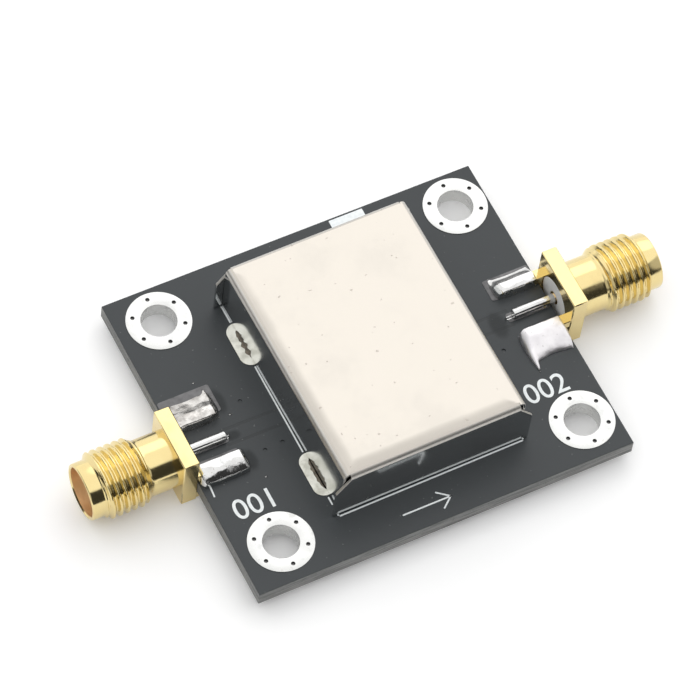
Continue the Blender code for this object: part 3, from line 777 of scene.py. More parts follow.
@dataclass(frozen=True)
class GlassEdgeFinish:
    """The routed side of a glass-epoxy board: rough, layered and grey, with a dark rim of mask."""

    resin: Colour = (0.14, 0.143, 0.14)
    glass: Colour = (0.29, 0.293, 0.285)
    rim: Colour = (0.06, 0.065, 0.062)
    layers: float = 9000.0
    skin: float = 0.06 * MM

    def material(self, low: float, high: float) -> Material:
        """Makes the material.

        Args:
            low: The height of the board's underside.
            high: The height of its upper side.

        Returns:
            The material.
        """
        material, graph = new_material("glass_edge")
        x, y, z = graph.place()
        layered = graph.speckle(1.0, 3.0, graph.point(x * 350.0, y * 350.0, z * self.layers))
        fibres = graph.speckle(1.0, 2.0, graph.point(x * 6000.0, y * 6000.0, z * 2500.0))
        burrs = graph.speckle(1700.0, 3.0)
        colour = graph.mix(layered.step(0.35, 0.68), self.resin, self.glass)
        colour = graph.mix(fibres.step(0.55, 0.8) * 0.5, colour, tuple(c * 1.25 for c in self.glass))
        inner = self.skin * 0.4
        mask = z.step(high - self.skin, high - inner).most(z.step(low + self.skin, low + inner))
        colour = graph.mix(mask.most(burrs.step(0.66, 0.74) * 0.4), colour, self.rim)
        normal = graph.bump(layered * 0.5 + fibres * 0.3 + burrs * 0.4, 0.03 * MM, 0.8)
        graph.surface(colour, 0.68 + 0.2 * (burrs - 0.5), 0.0, normal)
        return material


@dataclass(frozen=True)
class MetalFinish:
    """A bare or plated metal. Its waves and its grain have a scale to the metre and a height each."""

    name: str
    colour: Colour
    shade: Colour
    roughness: float
    dull: float
    wave: Pair
    grain: Pair
    spots: float = 0.0
    spot_colour: Colour = (0.2, 0.16, 0.12)

    def material(self) -> Material:
        """Makes the material."""
        material, graph = new_material(self.name)
        wave_scale, wave_height = self.wave
        grain_scale, grain_height = self.grain
        cloud = graph.speckle(wave_scale, 3.0)
        grain = graph.speckle(grain_scale, 3.0)
        worn = graph.speckle(wave_scale * 3.1, 4.0).step(0.52, 0.72)
        colour = graph.mix(cloud.step(0.3, 0.75), self.colour, self.shade)
        if self.spots:
            spot = graph.speckle(wave_scale * 5.3, 1.0).step(0.70, 0.76)
            colour = graph.mix(spot * self.spots, colour, self.spot_colour)
        roughness = self.roughness + worn * self.dull + 0.04 * (grain - 0.5)
        normal = graph.bump(grain, grain_height, 1.0, graph.bump(cloud, wave_height))
        graph.surface(colour, roughness.most(0.03), 1.0, normal)
        return material


@dataclass(frozen=True)
class TurnedGoldFinish:
    """Gold plate over turned brass: fine rings round the barrel and a slightly darker tone in patches."""

    colour: Colour = (0.80, 0.66, 0.325)
    shade: Colour = (0.77, 0.60, 0.28)
    roughness: float = 0.12
    rings_along: float = 21000.0
    rings_out: float = 7.8e6

    def material(self, name: str, axis_y: float, axis_z: float) -> Material:
        """Makes the material for one jack.

        Args:
            name: The material's name.
            axis_y: The Y of the jack's axis, which runs along X.
            axis_z: The height of that axis.

        Returns:
            The material.
        """
        material, graph = new_material(name)
        x, y, z = graph.place()
        height, side = z - axis_z, y - axis_y
        reach = (height * height + side * side) * self.rings_out
        rings = graph.speckle(1.0, 3.0, graph.point(x * self.rings_along, reach, 0.0), 0.6)
        cloud = graph.speckle(620.0, 3.0)
        fine = graph.speckle(9000.0, 2.0)
        colour = graph.mix(cloud.step(0.35, 0.8) * 0.55, self.colour, self.shade)
        roughness = self.roughness + 0.10 * (rings - 0.5) + 0.12 * cloud.step(0.5, 0.8)
        ringed = graph.bump(rings, 0.0016 * MM, 0.8)
        normal = graph.bump(cloud + fine * 0.05, 0.012 * MM, 0.7, ringed)
        graph.surface(colour, roughness, 1.0, normal)
        return material


@dataclass(frozen=True)
class CanFinish:
    """Bright rolled sheet: a warm satin mirror with faint rolling lines, smudges and specks."""

    name: str = "can_sheet_metal"
    colour: Colour = (0.525, 0.49, 0.44)
    smudge: Colour = (0.495, 0.463, 0.418)
    speck: Colour = (0.35, 0.32, 0.28)
    roughness: float = 0.075

    def material(self) -> Material:
        """Makes the material."""
        material, graph = new_material(self.name)
        x, y, z = graph.place()
        rolled = graph.speckle(1.0, 3.0, graph.point(x * 9000.0, y * 260.0, z * 9000.0))
        smear = graph.speckle(170.0, 4.0, None, 0.62)
        touched = graph.speckle(520.0, 3.0)
        specks = graph.speckle(1750.0, 1.0).step(0.752, 0.775)
        colour = graph.mix(smear.step(0.42, 0.72) * 0.8, self.colour, self.smudge)
        colour = graph.mix(specks * 0.55, colour, self.speck)
        roughness = self.roughness + smear.step(0.4, 0.7) * 0.05 + 0.02 * (touched - 0.5) + specks * 0.2
        rolling = graph.bump(rolled, 0.0007 * MM, 0.7)
        normal = graph.bump(graph.speckle(230.0, 2.0), 0.016 * MM, 0.8, rolling)
        graph.surface(colour, roughness, 1.0, normal)
        return material


@dataclass(frozen=True)
class PlainFinish:
    """A matt, non-metal surface with a cloudy tone and a fine grain."""

    name: str
    colour: Colour
    shade: Colour
    roughness: float
    scale: float
    height: float

    def material(self) -> Material:
        """Makes the material."""
        material, graph = new_material(self.name)
        cloud = graph.speckle(self.scale, 3.0)
        grain = graph.speckle(self.scale * 9.0, 2.0)
        colour = graph.mix(cloud.step(0.3, 0.7), self.colour, self.shade)
        roughness = self.roughness + 0.12 * (grain - 0.5)
        graph.surface(colour, roughness, 0.0, graph.bump(cloud * 0.5 + grain * 0.5, self.height))
        return material


@dataclass(frozen=True)
class ChipFinish:
    """A chip part with plated ends: the middle and the ends meet at a set distance from its centre."""

    middle: Colour
    middle_shade: Colour
    middle_metallic: float
    middle_roughness: float
    end_length: float
    end_colour: Colour = (0.74, 0.74, 0.72)
    end_roughness: float = 0.3

    def material(self, node: str) -> Material:
        """Makes the material for one chip.

        Args:
            node: The chip's CAD node, whose box places the ends.

        Returns:
            The material.
        """
        low, high = box_of(node)
        size, centre = high - low, (high + low) / 2
        material, graph = new_material(node + "_finish")
        places = graph.place()
        axis = 0 if size.x > size.y else 1
        along = abs(places[axis] - centre[axis])
        end = along.step(size[axis] / 2 - self.end_length - 0.02 * MM, size[axis] / 2 - self.end_length)
        cloud = graph.speckle(2400.0, 3.0)
        colour = graph.mix(cloud.step(0.3, 0.7), self.middle, self.middle_shade)
        colour = graph.mix(end, colour, self.end_colour)
        change = self.end_roughness - self.middle_roughness
        roughness = self.middle_roughness + change * end + 0.1 * (cloud - 0.5)
        metallic = end * (1 - self.middle_metallic) + self.middle_metallic
        graph.surface(colour, roughness, metallic, graph.bump(cloud, 0.01 * MM))
        return material


# The walls get a brighter, greyer copy of the sheet's finish: painted light that lifts the reflections in
# them.
CAN_WALL_BRIGHTENED = CanFinish(
    "can_wall_brightened_metal", colour=(0.66, 0.67, 0.67), smudge=(0.61, 0.62, 0.62), speck=(0.34, 0.33, 0.31),
    roughness=0.11)
CAN_BEND = CanFinish(
    "can_bend_metal", colour=(0.53, 0.51, 0.475), smudge=(0.50, 0.48, 0.445), speck=(0.34, 0.32, 0.29),
    roughness=0.36)
TIN = MetalFinish(
    "bright_tin", colour=(0.66, 0.66, 0.645), shade=(0.60, 0.605, 0.595), roughness=0.24, dull=0.14,
    wave=(420.0, 0.02 * MM), grain=(4200.0, 0.0012 * MM), spots=0.25, spot_colour=(0.40, 0.38, 0.34))
DULL_TIN = MetalFinish(
    "dull_tin", colour=(0.37, 0.36, 0.355), shade=(0.27, 0.265, 0.26), roughness=0.40, dull=0.15,
    wave=(900.0, 0.03 * MM), grain=(5200.0, 0.004 * MM), spots=0.5, spot_colour=(0.15, 0.125, 0.10))
LAND_TIN = MetalFinish(
    "land_tin", colour=(0.88, 0.87, 0.79), shade=(0.60, 0.59, 0.51), roughness=0.34, dull=0.12,
    wave=(1300.0, 0.02 * MM), grain=(5200.0, 0.003 * MM), spots=0.35, spot_colour=(0.24, 0.22, 0.18))
PAD_TIN = MetalFinish(
    "pad_tin", colour=(0.18, 0.178, 0.18), shade=(0.12, 0.118, 0.12), roughness=0.45, dull=0.15,
    wave=(1100.0, 0.03 * MM), grain=(5200.0, 0.004 * MM), spots=0.5, spot_colour=(0.10, 0.085, 0.07))
SOLDER = MetalFinish(
    "flowed_solder", colour=(0.70, 0.70, 0.69), shade=(0.60, 0.595, 0.585), roughness=0.10, dull=0.20,
    wave=(900.0, 0.05 * MM), grain=(7000.0, 0.003 * MM), spots=0.45, spot_colour=(0.27, 0.21, 0.16))
SATIN_SOLDER = MetalFinish(
    "satin_solder", colour=(0.84, 0.82, 0.83), shade=(0.72, 0.70, 0.715), roughness=0.34, dull=0.14,
    wave=(800.0, 0.05 * MM), grain=(6000.0, 0.004 * MM), spots=0.35, spot_colour=(0.26, 0.23, 0.21))
DULL_SOLDER = MetalFinish(
    "dull_solder", colour=(0.76, 0.74, 0.71), shade=(0.36, 0.34, 0.32), roughness=0.18, dull=0.22,
    wave=(1100.0, 0.07 * MM), grain=(6000.0, 0.005 * MM), spots=0.7, spot_colour=(0.12, 0.095, 0.075))
BORE_GOLD = MetalFinish(
    "bore_gold", colour=(0.95, 0.70, 0.43), shade=(0.86, 0.60, 0.35), roughness=0.42, dull=0.10,
    wave=(900.0, 0.01 * MM), grain=(8000.0, 0.001 * MM))
CONTACT_GOLD = MetalFinish(
    "contact_gold", colour=(0.76, 0.56, 0.25), shade=(0.68, 0.47, 0.20), roughness=0.12, dull=0.08,
    wave=(900.0, 0.006 * MM), grain=(8000.0, 0.0008 * MM))
INK = PlainFinish("silk_ink", (0.90, 0.93, 0.93), (0.80, 0.84, 0.85), roughness=0.62, scale=2600.0,
                  height=0.004 * MM)
INSULATOR = PlainFinish("insulator_white", (0.83, 0.83, 0.81), (0.76, 0.76, 0.74), roughness=0.45,
                        scale=1500.0, height=0.006 * MM)
RESIDUE = PlainFinish("flux_residue", (0.24, 0.20, 0.145), (0.09, 0.072, 0.052), roughness=0.25,
                      scale=2600.0, height=0.02 * MM)
CAPACITOR = ChipFinish((0.42, 0.29, 0.19), (0.34, 0.23, 0.15), middle_metallic=0.0, middle_roughness=0.5,
                       end_length=0.43 * MM)
INDUCTOR = ChipFinish((0.55, 0.21, 0.09), (0.66, 0.30, 0.14), middle_metallic=0.7, middle_roughness=0.32,
                      end_length=0.5 * MM)


class Finishes:
    """Each plain finish's material, made once."""

    def __init__(self) -> None:
        """Makes the materials that pieces share."""
        self.tin = TIN.material()
        self.dull_tin = DULL_TIN.material()
        self.land_tin = LAND_TIN.material()
        self.pad_tin = PAD_TIN.material()
        self.residue = RESIDUE.material()
        self.solder = SOLDER.material()
        self.joints = {Flow.BRIGHT: self.solder, Flow.SATIN: SATIN_SOLDER.material(),
                       Flow.DULL: DULL_SOLDER.material()}
        self.contact = CONTACT_GOLD.material()
        self.bore = BORE_GOLD.material()
        self.ink = INK.material()
        self.insulator = INSULATOR.material()
        self.can = CanFinish().material()
        # The walls' brightened copy of the sheet, a painted light.
        self.can_wall_brightened = CAN_WALL_BRIGHTENED.material()
        self.can_bend = CAN_BEND.material()


# The board


@dataclass
class CircuitBoard:
    """The board: drilled, routed, masked on both faces and rough on its sides."""

    finishes: Finishes
    via_diameter: float = 0.4 * MM
    ring_via_circle: float = 4.75 * MM
    ring_via_count: int = 6
    edge_break: float = 0.05 * MM
    edge_depth: float = 0.4 * MM
    dimple: float = 0.11 * MM
    margin: float = 0.5 * MM
    track_vias: tuple[Pair, ...] = ((-11.57 * MM, 2.16 * MM), (-11.72 * MM, -3.22 * MM),
                                                   (-9.96 * MM, -3.1 * MM), (12.37 * MM, -2.82 * MM))
    corners: tuple[str, ...] = ("front_left", "front_right", "back_left", "back_right")
    low: Vector = field(init=False)
    high: Vector = field(init=False)

    def __post_init__(self) -> None:
        """Reads the board's corners from the frame."""
        self.low, self.high = box_of("circuit_board")

    @property
    def middle_x(self) -> float:
        """The middle of the board along X."""
        return (self.low.x + self.high.x) / 2

    def ring_vias(self, centre: Vector) -> Iterator[Pair]:
        """The centres of the vias round a mounting hole."""
        for index in range(self.ring_via_count):
            angle = 2 * math.pi * (index + 0.5) / self.ring_via_count
            yield (centre.x + math.cos(angle) * self.ring_via_circle / 2,
                   centre.y + math.sin(angle) * self.ring_via_circle / 2)

    def posts(self, name: str, radius: float, low: float, high: float, centre: Vector) -> list[Piece]:
        """The posts of one ring: one at each small via, from a foot up to a head."""
        return [cylinder(f"{name}_{index}", radius, low, high, via, VIA_STEPS)
                for index, via in enumerate(self.ring_vias(centre))]

    def drills(self, hole_radius: float, slot_size: Pair) -> Piece:
        """One cutter with every hole and slot of the board.

        Args:
            hole_radius: The drilled radius of a mounting hole.
            slot_size: The routed length and width of a slot.

        Returns:
            The cutter.
        """
        low, high = self.low.z - self.margin, self.high.z + self.margin
        radius = self.via_diameter / 2
        cutters = []
        for corner in self.corners:
            centre = centre_of("hole_ring_" + corner)
            cutters.append(cylinder("drill", hole_radius, low, high, centre))
            cutters += self.posts("via", radius, low, high, centre)
            cutters.append(oval("router", *slot_size, low, high, centre_of("slot_sleeve_" + corner)))
        for x, y in self.track_vias:
            place = (self.middle_x + x, y)
            cutters.append(cylinder("dimple", radius, self.high.z - self.dimple, high, place, VIA_STEPS))
            cutters.append(cylinder("dimple", radius, low, self.low.z + self.dimple, place, VIA_STEPS))
        return join(cutters)

    def build(self, input_y: float, output_y: float) -> Piece:
        """Builds the board and dresses it.

        Args:
            input_y: Where the input track runs.
            output_y: Where the output track runs.

        Returns:
            The board.
        """
        ring_low, ring_high = box_of("hole_ring_front_left")
        foil = (ring_high.z - ring_low.z - (self.high.z - self.low.z)) / 2 - SEAT_GAP
        hole_radius = MountingRing.bore / 2 + foil + SEAT_GAP
        growth = 2 * (foil + SEAT_GAP)
        slot_size = (SlotSleeve.slot_length + growth, SlotSleeve.slot_width + growth)
        board = cube("board", self.low, self.high)
        soften(board, self.edge_break)
        combine(board, self.drills(hole_radius, slot_size), "DIFFERENCE")
        mask = MaskFinish().material(input_y, output_y, self.middle_x)
        dress(board, mask, GlassEdgeFinish().material(self.low.z, self.high.z))
        paint_faces(board, 0, lambda face: True)
        paint_faces(board, 1, lambda face: abs(face.normal.z) < 0.5 and (
            abs(face.center.x - self.middle_x) > (self.high.x - self.low.x) / 2 - self.edge_depth
            or abs(face.center.y) > self.high.y - self.edge_depth))
        keep_flats(shade(board, 25.0))
        return mount(board, Slot.BOARD, "circuit_board")


@dataclass
class MountingRing:
    """The tinned land and wall of a mounting hole, with its small vias. It is turned once and copied."""

    board: CircuitBoard
    rim_break: float = 0.02 * MM
    mouth_break: float = 0.04 * MM
    sunk: float = 0.28 * MM
    steps: int = 128
    bore = 3.3 * MM

    def model(self, corner: str, material: Material) -> Piece:
        """Turns a ring, drills its vias and dresses it.

        Args:
            corner: The corner that it is made for.
            material: The ring's own material; the plugs in its vias are dull.

        Returns:
            The ring.
        """
        low, high = box_of("hole_ring_" + corner)
        centre = (low + high) / 2
        rim, bore = (high.x - low.x) / 2, self.bore / 2
        corners = [Corner(bore, high.z, self.mouth_break), Corner(rim, high.z, self.rim_break),
                   Corner(rim, high.z - FOIL), Corner(bore + FOIL, high.z - FOIL),
                   Corner(bore + FOIL, low.z + FOIL), Corner(rim, low.z + FOIL),
                   Corner(rim, low.z, self.rim_break), Corner(bore, low.z, self.mouth_break)]
        ring = turned("ring_" + corner, rounded_outline(corners, True), True, self.steps)
        place_mesh(ring, Matrix.Translation((centre.x, centre.y, 0)))
        radius, margin = self.board.via_diameter / 2, self.board.margin
        vias = self.board.posts("ring_via", radius, low.z - margin, high.z + margin, centre)
        combine(ring, join(vias), "DIFFERENCE")
        foot, head = low.z + self.sunk, high.z - self.sunk
        plugs = self.board.posts("ring_plug", radius - CUT_PLAY, foot, head, centre)
        body_faces = len(ring.data.polygons)
        join([ring, *plugs])
        keep_flats(shade(dress(ring, material, self.board.finishes.dull_tin), 50.0))
        paint_faces(ring, 1, lambda face: face.index >= body_faces)
        return ring

    def build(self, material: Material) -> None:
        """Models the ring of the first corner and copies it to the others."""
        first, *others = self.board.corners
        ring, start = self.model(first, material), centre_of("hole_ring_" + first)
        for corner in others:
            twin = copy_of(ring, "ring_" + corner)
            place_mesh(twin, Matrix.Translation(centre_of("hole_ring_" + corner) - start))
            mount(twin, Slot.FOIL, "hole_ring_" + corner)
        mount(ring, Slot.FOIL, "hole_ring_" + first)


@dataclass
class SlotSleeve:
    """The plated sleeve of one tab slot: an oval land on both faces, and tin that has run in.

    The tin tore open in its own way round each tab, so each sleeve is built for its corner.
    """

    corner: str
    finishes: Finishes
    rim_break: float = 0.015 * MM
    slit_length: float = 3.4 * MM
    tab_thickness: float = 0.25 * MM
    tab_gap: float = 0.27 * MM
    tear: float = 0.75
    tear_scale: float = 2600.0
    narrowest: float = 0.25
    residue_depth: float = 0.07 * MM
    slit_cuts: int = 26
    slot_length = 3.6 * MM
    slot_width = 1.05 * MM

    def slit(self, centre: Vector, low: float, high: float) -> Piece:
        """The ragged opening that the tin leaves round the tab.

        Args:
            centre: The middle of the slot.
            low: The height of the lower land.
            high: The height of the upper land.

        Returns:
            The opening, as a cutter.
        """
        inward = math.copysign(1.0, -centre.x)
        middle = centre.x + inward * self.tab_thickness / 2
        half = self.tab_thickness / 2 + self.tab_gap
        reach = self.slit_length / 2
        slit = cube("slit", (middle - half, centre.y - reach, low - MM),
                    (middle + half, centre.y + reach, high + MM))
        with EditMode(slit) as edit:
            for index in range(1, self.slit_cuts):
                edit.cut((0, centre.y - reach + 2 * reach * index / self.slit_cuts, 0), (0, 1, 0))
        for vert in slit.data.vertices:
            side = math.copysign(1.0, vert.co.x - middle)
            share = abs(vert.co.y - centre.y) / reach
            rough = noise.noise(Vector((side * 3.0 + centre.x * 900.0, vert.co.y * self.tear_scale, 0.0)))
            gap = self.tab_gap * (1.0 + self.tear * rough)
            vert.co.x = middle + side * (self.tab_thickness / 2 + gap) * max(self.narrowest, 1 - share ** 6)
        return slit

    def build(self, material: Material) -> Piece:
        """Builds the sleeve and dresses it.

        Args:
            material: The material of its lands; the opening is lined with residue.

        Returns:
            The sleeve.
        """
        node = "slot_sleeve_" + self.corner
        low, high = box_of(node)
        centre = centre_of(node)
        sleeve = oval("sleeve_" + self.corner, self.slot_length + 2 * FOIL, self.slot_width + 2 * FOIL,
                      low.z + FOIL / 2, high.z - FOIL / 2, centre)
        for name, bottom, top in (("upper", high.z - FOIL, high.z), ("lower", low.z, low.z + FOIL)):
            land = oval("land_" + name, high.y - low.y, high.x - low.x, bottom, top, centre)
            soften(land, self.rim_break)
            combine(sleeve, land, "UNION")
        combine(sleeve, self.slit(centre, low.z, high.z), "DIFFERENCE")
        sleeve_faces = len(sleeve.data.polygons)
        inward = math.copysign(1.0, -centre.x)
        reach, across = self.slit_length / 2 + CUT_PLAY, self.slot_width / 2
        sides = sorted((centre.x - inward * self.rim_break, centre.x - inward * across))
        fill = cube("residue", (sides[0], centre.y - reach, low.z + self.residue_depth),
                    (sides[1], centre.y + reach, high.z - self.residue_depth))
        join([sleeve, fill])
        dress(sleeve, material, self.finishes.residue)
        paint_faces(sleeve, 1, lambda face: face.index >= sleeve_faces or (
            abs(face.normal.z) < 0.3 and abs(face.center.y - centre.y) < reach
            and abs(face.center.x - centre.x) < across))
        keep_flats(shade(sleeve, 40.0))
        return mount(sleeve, Slot.FOIL, node)


@dataclass(frozen=True)
class PadSize:
    """Where a leg's pad starts and ends across the board, and how far it runs inwards."""

    inner: float
    outer: float
    length: float


PAD_SIZES = {
    "input_front": PadSize(2.0 * MM, 3.75 * MM, 4.7 * MM),
    "input_back": PadSize(2.0 * MM, 4.9 * MM, 5.15 * MM),
    "output_front": PadSize(2.0 * MM, 4.4 * MM, 4.3 * MM),
    "output_back": PadSize(2.12 * MM, 4.35 * MM, 4.75 * MM),
}


@dataclass
class SolderPads:
    """The tinned pads that carry the jacks' legs and pins, on both faces of the board."""

    board: CircuitBoard
    finishes: Finishes
    pin_length: float = 4.4 * MM
    pin_width: float = 0.95 * MM
    setback: float = 0.12 * MM
    rounding: float = 0.22 * MM
    rim_break: float = 0.015 * MM

    def pad(self, name: str, x_pair: Sequence[float], y_pair: Sequence[float], upper: bool) -> Piece:
        """Makes one pad: a thin slab with round corners and a soft rim.

        Args:
            name: The pad's name.
            x_pair: Its two ends along X, in either order.
            y_pair: Its two sides along Y, in either order.
            upper: Whether it is on the board's upper face.

        Returns:
            The pad.
        """
        base = self.board.high.z if upper else self.board.low.z - FOIL
        slab = cube(name, (min(x_pair), min(y_pair), base), (max(x_pair), max(y_pair), base + FOIL))
        round_corners(slab, FOIL, self.rounding, 8)
        return soften(slab, self.rim_break)

    def build(self, input_y: float, output_y: float) -> list[Piece]:
        """Builds one piece of pads for each jack and face.

        Args:
            input_y: The Y of the input jack's axis.
            output_y: The Y of the output jack's axis.

        Returns:
            The four pieces.
        """
        made = []
        sides = (("input", -1, self.board.low.x, input_y), ("output", 1, self.board.high.x, output_y))
        for jack, outward, edge_x, axis_y in sides:
            for face, upper in (("top", True), ("bottom", False)):
                pads = []
                for row, sign in (("front", -1), ("back", 1)):
                    size = PAD_SIZES[f"{jack}_{row}"]
                    x_pair = (edge_x - outward * self.setback, edge_x - outward * size.length)
                    pads.append(self.pad(f"pad_{row}", x_pair, (sign * size.inner, sign * size.outer), upper))
                if upper:
                    half = self.pin_width / 2
                    x_pair = (edge_x - outward * self.setback, edge_x - outward * self.pin_length)
                    pads.append(self.pad(f"{jack}_pad_pin", x_pair, (axis_y - half, axis_y + half), upper))
                piece = rename(join(pads), f"{jack}_pads_{face}")
                shade(dress(piece, self.finishes.pad_tin))
                made.append(mount(piece, Slot.FOIL))
        return made


@dataclass
class SilkPrint:
    """White ink on the board: the can's outline, a blank label field, short ticks and plain marks."""

    board: CircuitBoard
    finishes: Finishes
    ink: float = 0.02 * MM
    line: float = 0.15 * MM
    left: float = -8.93 * MM
    right: float = 9.55 * MM
    front: float = -11.88 * MM
    front_rise: float = 0.16 * MM
    back: float = 12.32 * MM
    hook: float = 0.62 * MM
    land_gap: float = 0.25 * MM
    corner_gap: float = 1.35 * MM
    field_rounding: float = 0.08 * MM
    digit_height: float = 2.0 * MM
    digit_share: float = 0.7
    digit_weight: float = 0.012 * MM

    def bar(self, name: str, start: Sequence[float], end: Sequence[float],
            width: float | None = None) -> Piece:
        """Makes one straight stroke of ink.

        Args:
            name: The stroke's name.
            start: The X and Y of its start.
            end: The X and Y of its end.
            width: The width of a field with straight ends; a plain line has round ends and the usual width.

        Returns:
            The stroke.
        """
        first, last = Vector((*start, 0)), Vector((*end, 0))
        middle, span = (first + last) / 2, last - first
        wide = width or self.line
        size = (span.length + (0 if width else wide), wide, self.ink)
        place = (middle.x, middle.y, self.board.high.z + self.ink / 2)
        stroke = primitive(name, bpy.ops.mesh.primitive_cube_add, size=1.0, location=place,
                           rotation=(0, 0, math.atan2(span.y, span.x)), scale=size)
        settle(stroke)
        round_corners(stroke, self.ink, self.field_rounding if width else wide * 0.35, 4)
        return stroke

    def number(self, name: str, digits: str, x: float, y: float) -> Piece:
        """Writes a plain number.

        Args:
            name: The mark's name.
            digits: The number.
            x: Where its first digit starts.
            y: Where its foot stands.

        Returns:
            The number, as a mesh.
        """
        mark = primitive(name, bpy.ops.object.text_add, location=(0, 0, 0))
        mark.data.body = digits
        mark.data.size = self.digit_height / self.digit_share
        mark.data.extrude = self.ink / 2
        mark.data.offset = self.digit_weight
        make_active(mark)
        bpy.ops.object.convert(target="MESH")
        item = bpy.context.active_object
        place_mesh(item, Matrix.Translation((x, y, self.board.high.z + self.ink / 2)))
        return item

    def outline(self) -> list[Piece]:
        """The strokes round the can, which stop at the slots' lands and hook back at the corners."""
        strokes = []
        gap = self.land_gap
        lands = [box_of("slot_sleeve_" + corner) for corner in ("front_left", "back_left")]
        stops = [self.front + self.corner_gap, lands[0][0].y - gap, lands[0][1].y + gap,
                 lands[1][0].y - gap, lands[1][1].y + gap, self.back]
        for side in (self.left, self.right):
            for index in range(0, len(stops), 2):
                strokes.append(self.bar("side", (side, stops[index]), (side, stops[index + 1])))
        for y, rise, inward in ((self.front, self.front_rise, 1), (self.back, 0.0, -1)):
            corners = ((self.left, y), (self.right, y + rise))
            strokes.append(self.bar("end", *corners))
            for corner_x, corner_y in corners:
                end = (corner_x, corner_y + inward * self.hook)
                strokes.append(self.bar("hook", (corner_x, corner_y), end))
        return strokes

    def arrow(self, x: float, y: float, length: float, head: float) -> list[Piece]:
        """Draws a plain arrow from the input side to the output side.

        Args:
            x: Where it starts along X.
            y: Where it runs.
            length: Its length.
            head: How far its head runs back.

        Returns:
            The arrow's three strokes.
        """
        tip = (x + length, y)
        wings = [(x + length - head, y + side * head * 0.8) for side in (-1, 1)]
        return [self.bar("shaft", (x, y), tip), *(self.bar("wing", wing, tip) for wing in wings)]

    def build(self) -> Piece:
        """Builds all the ink as one piece."""
        strokes = self.outline()
        strokes.append(self.bar("label_field", (3.95 * MM, 14.65 * MM), (7.35 * MM, 14.65 * MM), 2.3 * MM))
        strokes.append(self.bar("input_tick", (-17.92 * MM, -4.3 * MM), (-18.03 * MM, -5.6 * MM)))
        strokes.append(self.number("input_number", "001", -17.2 * MM, -8.65 * MM))
        strokes.append(self.number("output_number", "002", 11.7 * MM, -8.8 * MM))
        strokes += self.arrow(-3.7 * MM, -14.1 * MM, 4.7 * MM, 1.05 * MM)
        ink = rename(join(strokes), "silk_print")
        shade(dress(ink, self.finishes.ink), 30.0)
        return mount(ink, None)


# The shield can


